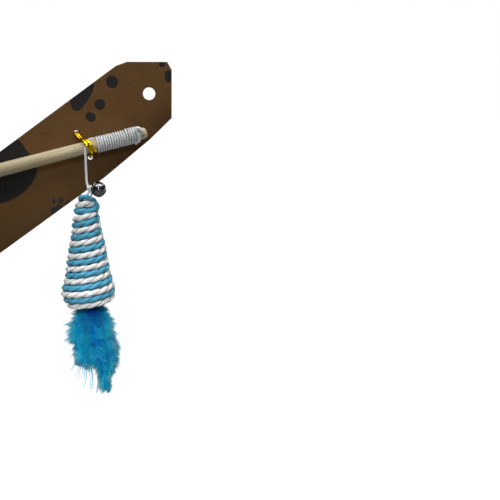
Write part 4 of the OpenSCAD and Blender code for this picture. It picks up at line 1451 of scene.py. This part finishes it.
class Plume:
    """One feather's down. Its barbs run from the shaft to its outline and gather in tufts."""

    def __init__(self, side, seed, table):
        self.seed, self.table, self.shape = seed, table, Shape()
        self.rng = rng = np.random.default_rng(seed)
        self.shaft = smooth(SHAFTS[side], SHAFT_STEP)
        self.depth, self.half, corners = MASSES[side]
        outline = resample(loop(corners, OUTLINE_STEPS), OUTLINE_STEP)
        places = np.linspace(0, len(outline) - 1, MASS_STEPS, endpoint=False)
        self.line = interp_rows(places, np.arange(len(outline)), outline)
        self.roots = barb_roots(self.line, self.shaft)
        out = self.line - self.roots[:, [0, 2]]
        self.spans = np.hypot(*out.T)
        # Each tuft has one tip past the outline
        picks = np.arange(0, MASS_STEPS, TUFT_STEPS)
        picks = picks + rng.uniform(0, TUFT_STEPS * 0.7, MASS_STEPS // TUFT_STEPS)
        self.picks = picks = np.minimum(picks.astype(int), MASS_STEPS - 1)
        beyond = np.interp(self.line[picks, 1], *np.transpose(BEYOND)) * rng.uniform(0.15, 1.1, len(picks))
        sway = rng.normal(0, 0.2, len(picks))[:, None]
        aside = np.column_stack((-out[picks, 1], out[picks, 0])) / self.spans[picks][:, None]
        heading = unit(unit(out[picks]) + sway * aside)
        self.tuft_tips = self.line[picks] + heading * beyond[:, None]
        self.tuft_depths = rng.normal(0, TUFT_DEPTH, len(picks))
        # The dense down's edge is drawn in, most between two tufts
        half_way = MASS_STEPS / 2
        gap = np.abs((np.arange(MASS_STEPS)[:, None] - picks + half_way) % MASS_STEPS - half_way)
        self.nearest = np.argmin(gap, axis=1)
        between = np.clip(np.min(gap, axis=1) / (TUFT_STEPS * 0.6), 0, 1)
        drawn_in = DRAWN_IN * np.clip(self.spans / DRAWN_SPAN, 0, 1) * (0.55 + 0.9 * between)
        drawn_in = drawn_in + rng.normal(0, EDGE_ROUGH, MASS_STEPS)
        self.edge = self.line - unit(out) * np.clip(drawn_in, 0, 0.7 * self.spans)[:, None]

    def tint(self, points, more=0):
        return np.clip(pale_at(points, self.table) + more, 0, 1)

    def surface(self, index, out, face):
        """Places on the dense down: by the edge's point, the share out from the shaft, and the face."""
        low = np.floor(index % MASS_STEPS).astype(int)
        after = (low + 1) % MASS_STEPS
        part = (index % MASS_STEPS - low)[:, None]
        tip = self.edge[low] * (1 - part) + self.edge[after] * part
        root = self.roots[low] * (1 - part) + self.roots[after] * part
        groove = self.ridge[low] * (1 - part[:, 0]) + self.ridge[after] * part[:, 0]
        x = root[:, 0] + (tip[:, 0] - root[:, 0]) * out
        z = root[:, 2] + (tip[:, 1] - root[:, 2]) * out
        swell = np.sqrt(np.maximum(1 - out**2, 0))
        half = self.half * np.interp(z, *np.transpose(HALF_SHARES))
        return np.stack((x, self.depth + face * swell * (half + groove * (0.3 + out)), z), -1)

    def add_mass(self):
        """The dense down as one closed lens with ridges where its barbs lie."""
        ridge = self.rng.normal(0, RIDGE, MASS_STEPS)
        ridge = (ridge + np.roll(ridge, 1) + np.roll(ridge, -1)) / 3
        index = np.arange(MASS_STEPS, dtype=float)
        self.ridge = ridge + 0.5 * wobble(index / MASS_STEPS, 14, 7) * np.hanning(MASS_STEPS)
        shares = np.sin(np.linspace(0, math.pi / 2, MASS_RINGS + 1))[:-1]
        rings = [(q, -1) for q in shares] + [(1, 0)] + [(q, 1) for q in shares[::-1]]
        points = np.array([self.surface(index, q, face) for q, face in rings])
        points[..., 1] += ROUGH * self.rng.normal(0, 1, points.shape[:2])
        # Painted shade: the dense down is tinted deeper than its hairs, so the gaps between them read as
        # shade.
        tints = 0.6 * pale_at(points, self.table) + 0.1 * self.ridge
        tints += STREAK * np.array([streaks(index, q, self.seed) for q, _ in rings])
        ring, k, quads = ring_quads(len(rings), MASS_STEPS)
        u = np.column_stack((k, k + 1, k + 1, k)) / MASS_STEPS
        v = np.column_stack((ring, ring, ring + 0.96, ring + 0.96)) / (len(rings) - 1)
        self.shape.add(
            points.reshape(-1, 3), quads.tolist(), tint=np.clip(tints, 0, 1).ravel(),
            strips=in_box(corner_rows(u, v), MASS_BOX),
        )

    def add_hairs(self):
        """Short hairs over both faces, in the direction of the barbs, longer at the edge."""
        rng, n = self.rng, HAIRS
        index = rng.uniform(0, MASS_STEPS, n)
        q = np.sqrt(rng.uniform(0.003, 1.0, n))
        central = rng.uniform(0, 1, n) < 0.24
        q = np.where(central, rng.uniform(0, 0.35, n), q)
        face = np.where(rng.uniform(0, 1, n) < 0.6, -1.0, 1.0)
        start = self.surface(index, q, face)
        ahead = self.surface(index, np.minimum(q + 0.05, 1), face)
        behind = self.surface(index, np.maximum(q - 0.05, 0), face)
        run = unit(unit(ahead - behind) - UP * (0.9 * np.clip(1 - q / 0.4, 0, 1))[:, None])
        spread = rng.normal(0, 1, (n, 3)) * (0.2 + 0.1 * q)[:, None]
        lift = face * np.abs(rng.normal(0.45, 0.5, n)) * (1 - 0.4 * q)
        lift *= np.where(rng.uniform(0, 1, n) < 0.12, 3.0, 1.0)
        sweep = np.cross(run, BACK) * (0.6 * wobble(index / 9, 1, self.seed + 5))[:, None]
        fringe = ease((q - 0.6) / 0.35)[:, None]
        tuft = self.nearest[index.astype(int)]
        goal_y = self.depth + self.tuft_depths[tuft] + 0.5 * (start[:, 1] - self.depth)
        goal = np.column_stack((self.tuft_tips[tuft, 0], goal_y, self.tuft_tips[tuft, 1]))
        left = np.linalg.norm(goal - start, axis=1)
        run = unit(run * (1 - 0.85 * fringe) + unit(goal - start) * 0.85 * fringe)
        length = rng.uniform(*HAIR_LENGTHS, n)
        length += fringe[:, 0] * (left * rng.uniform(0.35, 1.02, n) - length)
        way = run + spread * (1 - 0.45 * fringe) + sweep * (1 - 0.9 * fringe) + lift[:, None] * BACK
        tips = start + unit(way) * length[:, None]
        mess = rng.normal(0, 0.06, n) + STREAK * streaks(index, q, self.seed)
        widths = HAIR_R * rng.uniform(0.6, 1.2, n) * (1 - 0.6 * fringe[:, 0])
        tints = self.tint(start, mess), self.tint(tips, 0.08 + mess)
        needles(self.shape, start, tips, widths, *tints, HAIR_BOX)

    def add_halo(self):
        """Fine hairs that float past the edge."""
        rng, n = self.rng, HALO_HAIRS
        index = rng.uniform(0, MASS_STEPS, n)
        q = rng.uniform(0.8, 1, n)
        face = rng.choice((-1.0, 1.0), n)
        start = self.surface(index, q, face)
        run = unit(start - self.surface(index, q - 0.3, face)) + rng.normal(0, 0.4, (n, 3))
        length = HALO_SHORT + (HALO_LONG - HALO_SHORT) * rng.uniform(0, 1, n) ** 1.5
        tips = start + unit(run) * length[:, None]
        widths = HALO_R * rng.uniform(0.7, 1.2, n)
        tints = self.tint(start, -0.08), self.tint(tips, -0.08)
        needles(self.shape, start, tips, widths, *tints, HALO_BOX)

    def add_thread(self, barb, thick, taper, tint, strip):
        """One barb: a thin tapering thread, on its own strip of the baking map."""
        t = np.linspace(0, 1, len(barb))
        low, high = (SHAFT_STRIP + (BARB_STRIP - SHAFT_STRIP) * share for share in strip)
        tube(
            self.shape, barb, thick * (1 - taper * t) + BARB_TIP_R, 3, cap=0, strip_rows=1,
            strip_box=(0, low, 1, high), tint=tint,
        )

    def barb(self, tuft):
        """A barb that stands out over the edge to one tuft's tip."""
        rng = self.rng
        t = np.linspace(0, 1, 7)[:, None]
        low = int(self.picks[tuft] + rng.normal(0, TUFT_STEPS * 0.42)) % MASS_STEPS
        tip, root = self.line[low], self.roots[low]
        heading = unit(np.array((tip[0] - root[0], 0, tip[1] - root[2]))) * self.spans[low]
        face = rng.choice((-1.0, 1.0))
        first = np.array((root[0], self.depth + BARB_FROM * face, root[2])) + heading * 0.4
        goal = self.tuft_tips[tuft] + rng.normal(0, BARB_STRAY, 2)
        last = np.array((goal[0], self.depth + self.tuft_depths[tuft] + BARB_TO * face, goal[1]))
        last = first + (last - first) * rng.uniform(0.75, 1.08)
        return (1 - t) ** 2 * first + 2 * t * (1 - t) * (first + heading * 0.45) + t**2 * last

    def add_barbs(self, wisps):
        """The barbs over the edge and the long loose ones, each with its own fine hairs."""
        hairs = []
        total = BARBS + len(wisps)
        for number in range(total):
            strip = (number / total, (number + 1) / total)
            if number < BARBS:
                barb = self.barb(number % len(self.picks))
                self.add_thread(barb, BARB_R, 0.85, self.tint(barb, 0.05), strip)
                hairs.append(fluff(barb, self.rng, BARB_FLUFF_STEP, BARB_FLUFF, 0.45))
            else:
                barb = smooth(wisps[number - BARBS], WISP_STEP)
                self.add_thread(barb, WISP_R, 0.5, np.full(len(barb), WISP_PALE), strip)
                hairs.append(fluff(barb, self.rng, WISP_FLUFF_STEP, WISP_FLUFF))
        roots, tips, widths = (np.concatenate(rows) for rows in zip(*hairs))
        mess = self.rng.normal(0, 0.07, len(widths))
        tints = self.tint(roots, mess), self.tint(tips, 0.05 + mess)
        needles(self.shape, roots, tips, widths, *tints, FLUFF_BOX)


def add_feather(side, seed, table):
    plume = Plume(side, seed, table)
    shaft = plume.shaft[: int(len(plume.shaft) * 0.8)]
    tube(plume.shape, shaft, DOWN_SHAFT_R, 10, strip_box=(0, 0, 1, SHAFT_STRIP))
    plume.add_mass()
    plume.add_hairs()
    plume.add_halo()
    plume.add_barbs(WISPS[side])
    make_piece("down_" + side, plume.shape, at_tie, "feathers", [DOWN], "plume_" + side)


# The quills' start in the cone's frame, with each one's direction from the middle in degrees
QUILL_START = -88.256
QUILL_SPREAD = 0.75
QUILL_TURNS = {"left": 150, "middle": 270, "right": 30}
QUILL_R = 0.55
QUILL_STEP = 0.3


def add_quill(side):
    x, y = turned(QUILL_SPREAD, 0, math.radians(QUILL_TURNS[side]))
    start = (at_toy((x, y, QUILL_START)) - TIE) / MM
    end, after = np.array(SHAFTS[side][:2])
    path = smooth((start, start * 0.55 + end * 0.45, end, end + (after - end) * 0.35), QUILL_STEP)
    along = run_length(path)
    shape = tube(Shape(), path, QUILL_R * (1 - 0.12 * along / along[-1]))
    make_piece("shaft_" + side, shape, at_tie, "feathers", [SHAFT], "quill_" + side)


def finish_cad(node, material):
    """Gives a CAD node that stays its own material."""
    piece = bpy.data.objects[node]
    if not piece.material_slots:
        piece.data.materials.append(material)
    for slot in piece.material_slots:
        slot.material = material


# The stage, in metres. The floor is white for the camera by its distance from the toy, and what
# metal sees of it turns white behind the object.
FLOOR_Z = -0.25
FLOOR_HALF = 6
FLOOR_NEAR, FLOOR_FAR = 0.15, 0.85
FLOOR_WHITE = (0.74, 1.0)
FLOOR_BEHIND = (0.02, 0.22)
AMBIENT = 0.1
# What shiny pieces see in front of the object, below the white above and behind it
ROOM_LEVEL = 0.06


def add_floor():
    mesh = bpy.data.meshes.new("floor")
    sides = ((-1, -1), (1, -1), (1, 1), (-1, 1))
    mesh.from_pydata([(x * FLOOR_HALF, y * FLOOR_HALF, FLOOR_Z) for x, y in sides], [], [[0, 1, 2, 3]])
    floor = bpy.data.objects.new("floor", mesh)
    bpy.context.scene.collection.objects.link(floor)
    m = Material("floor", roughness=0.9)
    m.colour(srgb(176, 176, 176))
    place = m.object_place()
    toy = (TIE[0], TIE[1], FLOOR_Z)
    away = m.add("VectorMath", {0: place, 1: toy}, operation="DISTANCE").outputs["Value"]
    behind = m.spread(m.split(place)[1], *FLOOR_BEHIND)
    behind = m.math("MULTIPLY", m.ray("Glossy", "Transmission"), behind)
    seen = m.spread(away, FLOOR_NEAR, FLOOR_FAR, *FLOOR_WHITE)
    seen = m.math("MULTIPLY", m.ray("Camera"), seen)
    glow = m.add("Emission", {"Color": WHITE, "Strength": m.math("MAXIMUM", seen, behind)})
    m.show("Material Output", m.add("AddShader", {0: m.shader.outputs[0], 1: glow.outputs[0]}))
    mesh.materials.append(m.material)


def add_world():
    world = bpy.data.worlds.new("world")
    bpy.context.scene.world = world
    world.use_nodes = True
    m = Tree(world.node_tree)
    dim = m.tree.nodes["Background"]
    m.feed(dim.inputs["Color"], WHITE)
    m.feed(dim.inputs["Strength"], AMBIENT)
    way = m.split(m.add("TexCoord").outputs["Generated"])
    bright = m.math("MAXIMUM", m.spread(way[1], 0, 0.55), m.spread(way[2], 0.6, 0.85))
    room = m.spread(bright, 0, 1, ROOM_LEVEL, 1)
    seen = m.math("MAXIMUM", room, m.ray("Camera"))
    white = m.add("Background", {"Color": WHITE, "Strength": seen})
    share = m.ray("Camera", "Glossy", "Transmission")
    m.show("World Output", m.add("MixShader", {0: share, 1: dim.outputs[0], 2: white.outputs[0]}))


# Lamps, with their places and targets from the tie in millimetres
LAMP_TARGET = (0, 0, -40)
LAMPS = (
    # name, place, width and height in metres, watts
    ("key", (120, -235, 875), (1.7, 0.5), 12.4),
    ("fill", (200, -900, 160), (0.8, 0.6), 0.3),
)
SPOTS = (
    # name, place, target, beam in degrees, its width for its height, watts
    ("toy lamp", (60, -600, 330), (2, -5, -84), 14, 0.42, 11.5),
    ("feather lamp", (-40, -640, 200), (2, -5, -134), 6.9, 0.8, 19.5),
)
SPOT_R = 0.04
SPOT_BLEND = 0.5


def add_lamp(kind, name, place, target, watts):
    data = bpy.data.lights.new(name, kind)
    data.energy = watts
    lamp = bpy.data.objects.new(name, data)
    lamp.location = at_tie(place)
    way = Vector(at_tie(target)) - lamp.location
    lamp.rotation_euler = way.to_track_quat("-Z", "Y").to_euler()
    bpy.context.scene.collection.objects.link(lamp)
    return lamp


def add_lamps():
    for name, place, size, watts in LAMPS:
        data = add_lamp("AREA", name, place, LAMP_TARGET, watts).data
        data.shape = "RECTANGLE"
        data.size, data.size_y = size
    for name, place, target, beam, narrow, watts in SPOTS:
        lamp = add_lamp("SPOT", name, place, target, watts)
        lamp.scale = (narrow, 1, 1)
        lamp.data.spot_size = math.radians(beam)
        lamp.data.spot_blend = SPOT_BLEND
        lamp.data.shadow_soft_size = SPOT_R


add_camera()
hanging, hanging_path = add_hanging_cord()
add_knots()
add_stick()
add_winding()
add_tip_knot()
add_ropes()
add_card()
add_tie()
add_bell()
pale_table = pale_map()
for seed, side in enumerate(SHAFTS, FEATHER_SEED):
    add_feather(side, seed, pale_table)
    add_quill(side)
for node, material in (
    ("cone_core", ROLLED_CARD_PAINTED_SHADE), ("base_plug", PLUG), ("glue_bead", GLUE), ("bell_pellet", STEEL)
):
    finish_cad(node, material)
tuple(at_tie(CORD_EXIT))
[tuple(p) for p in at_tie(hanging_path)]
add_floor()
add_world()
add_lamps()
bpy.context.scene.view_settings.view_transform = "Standard"
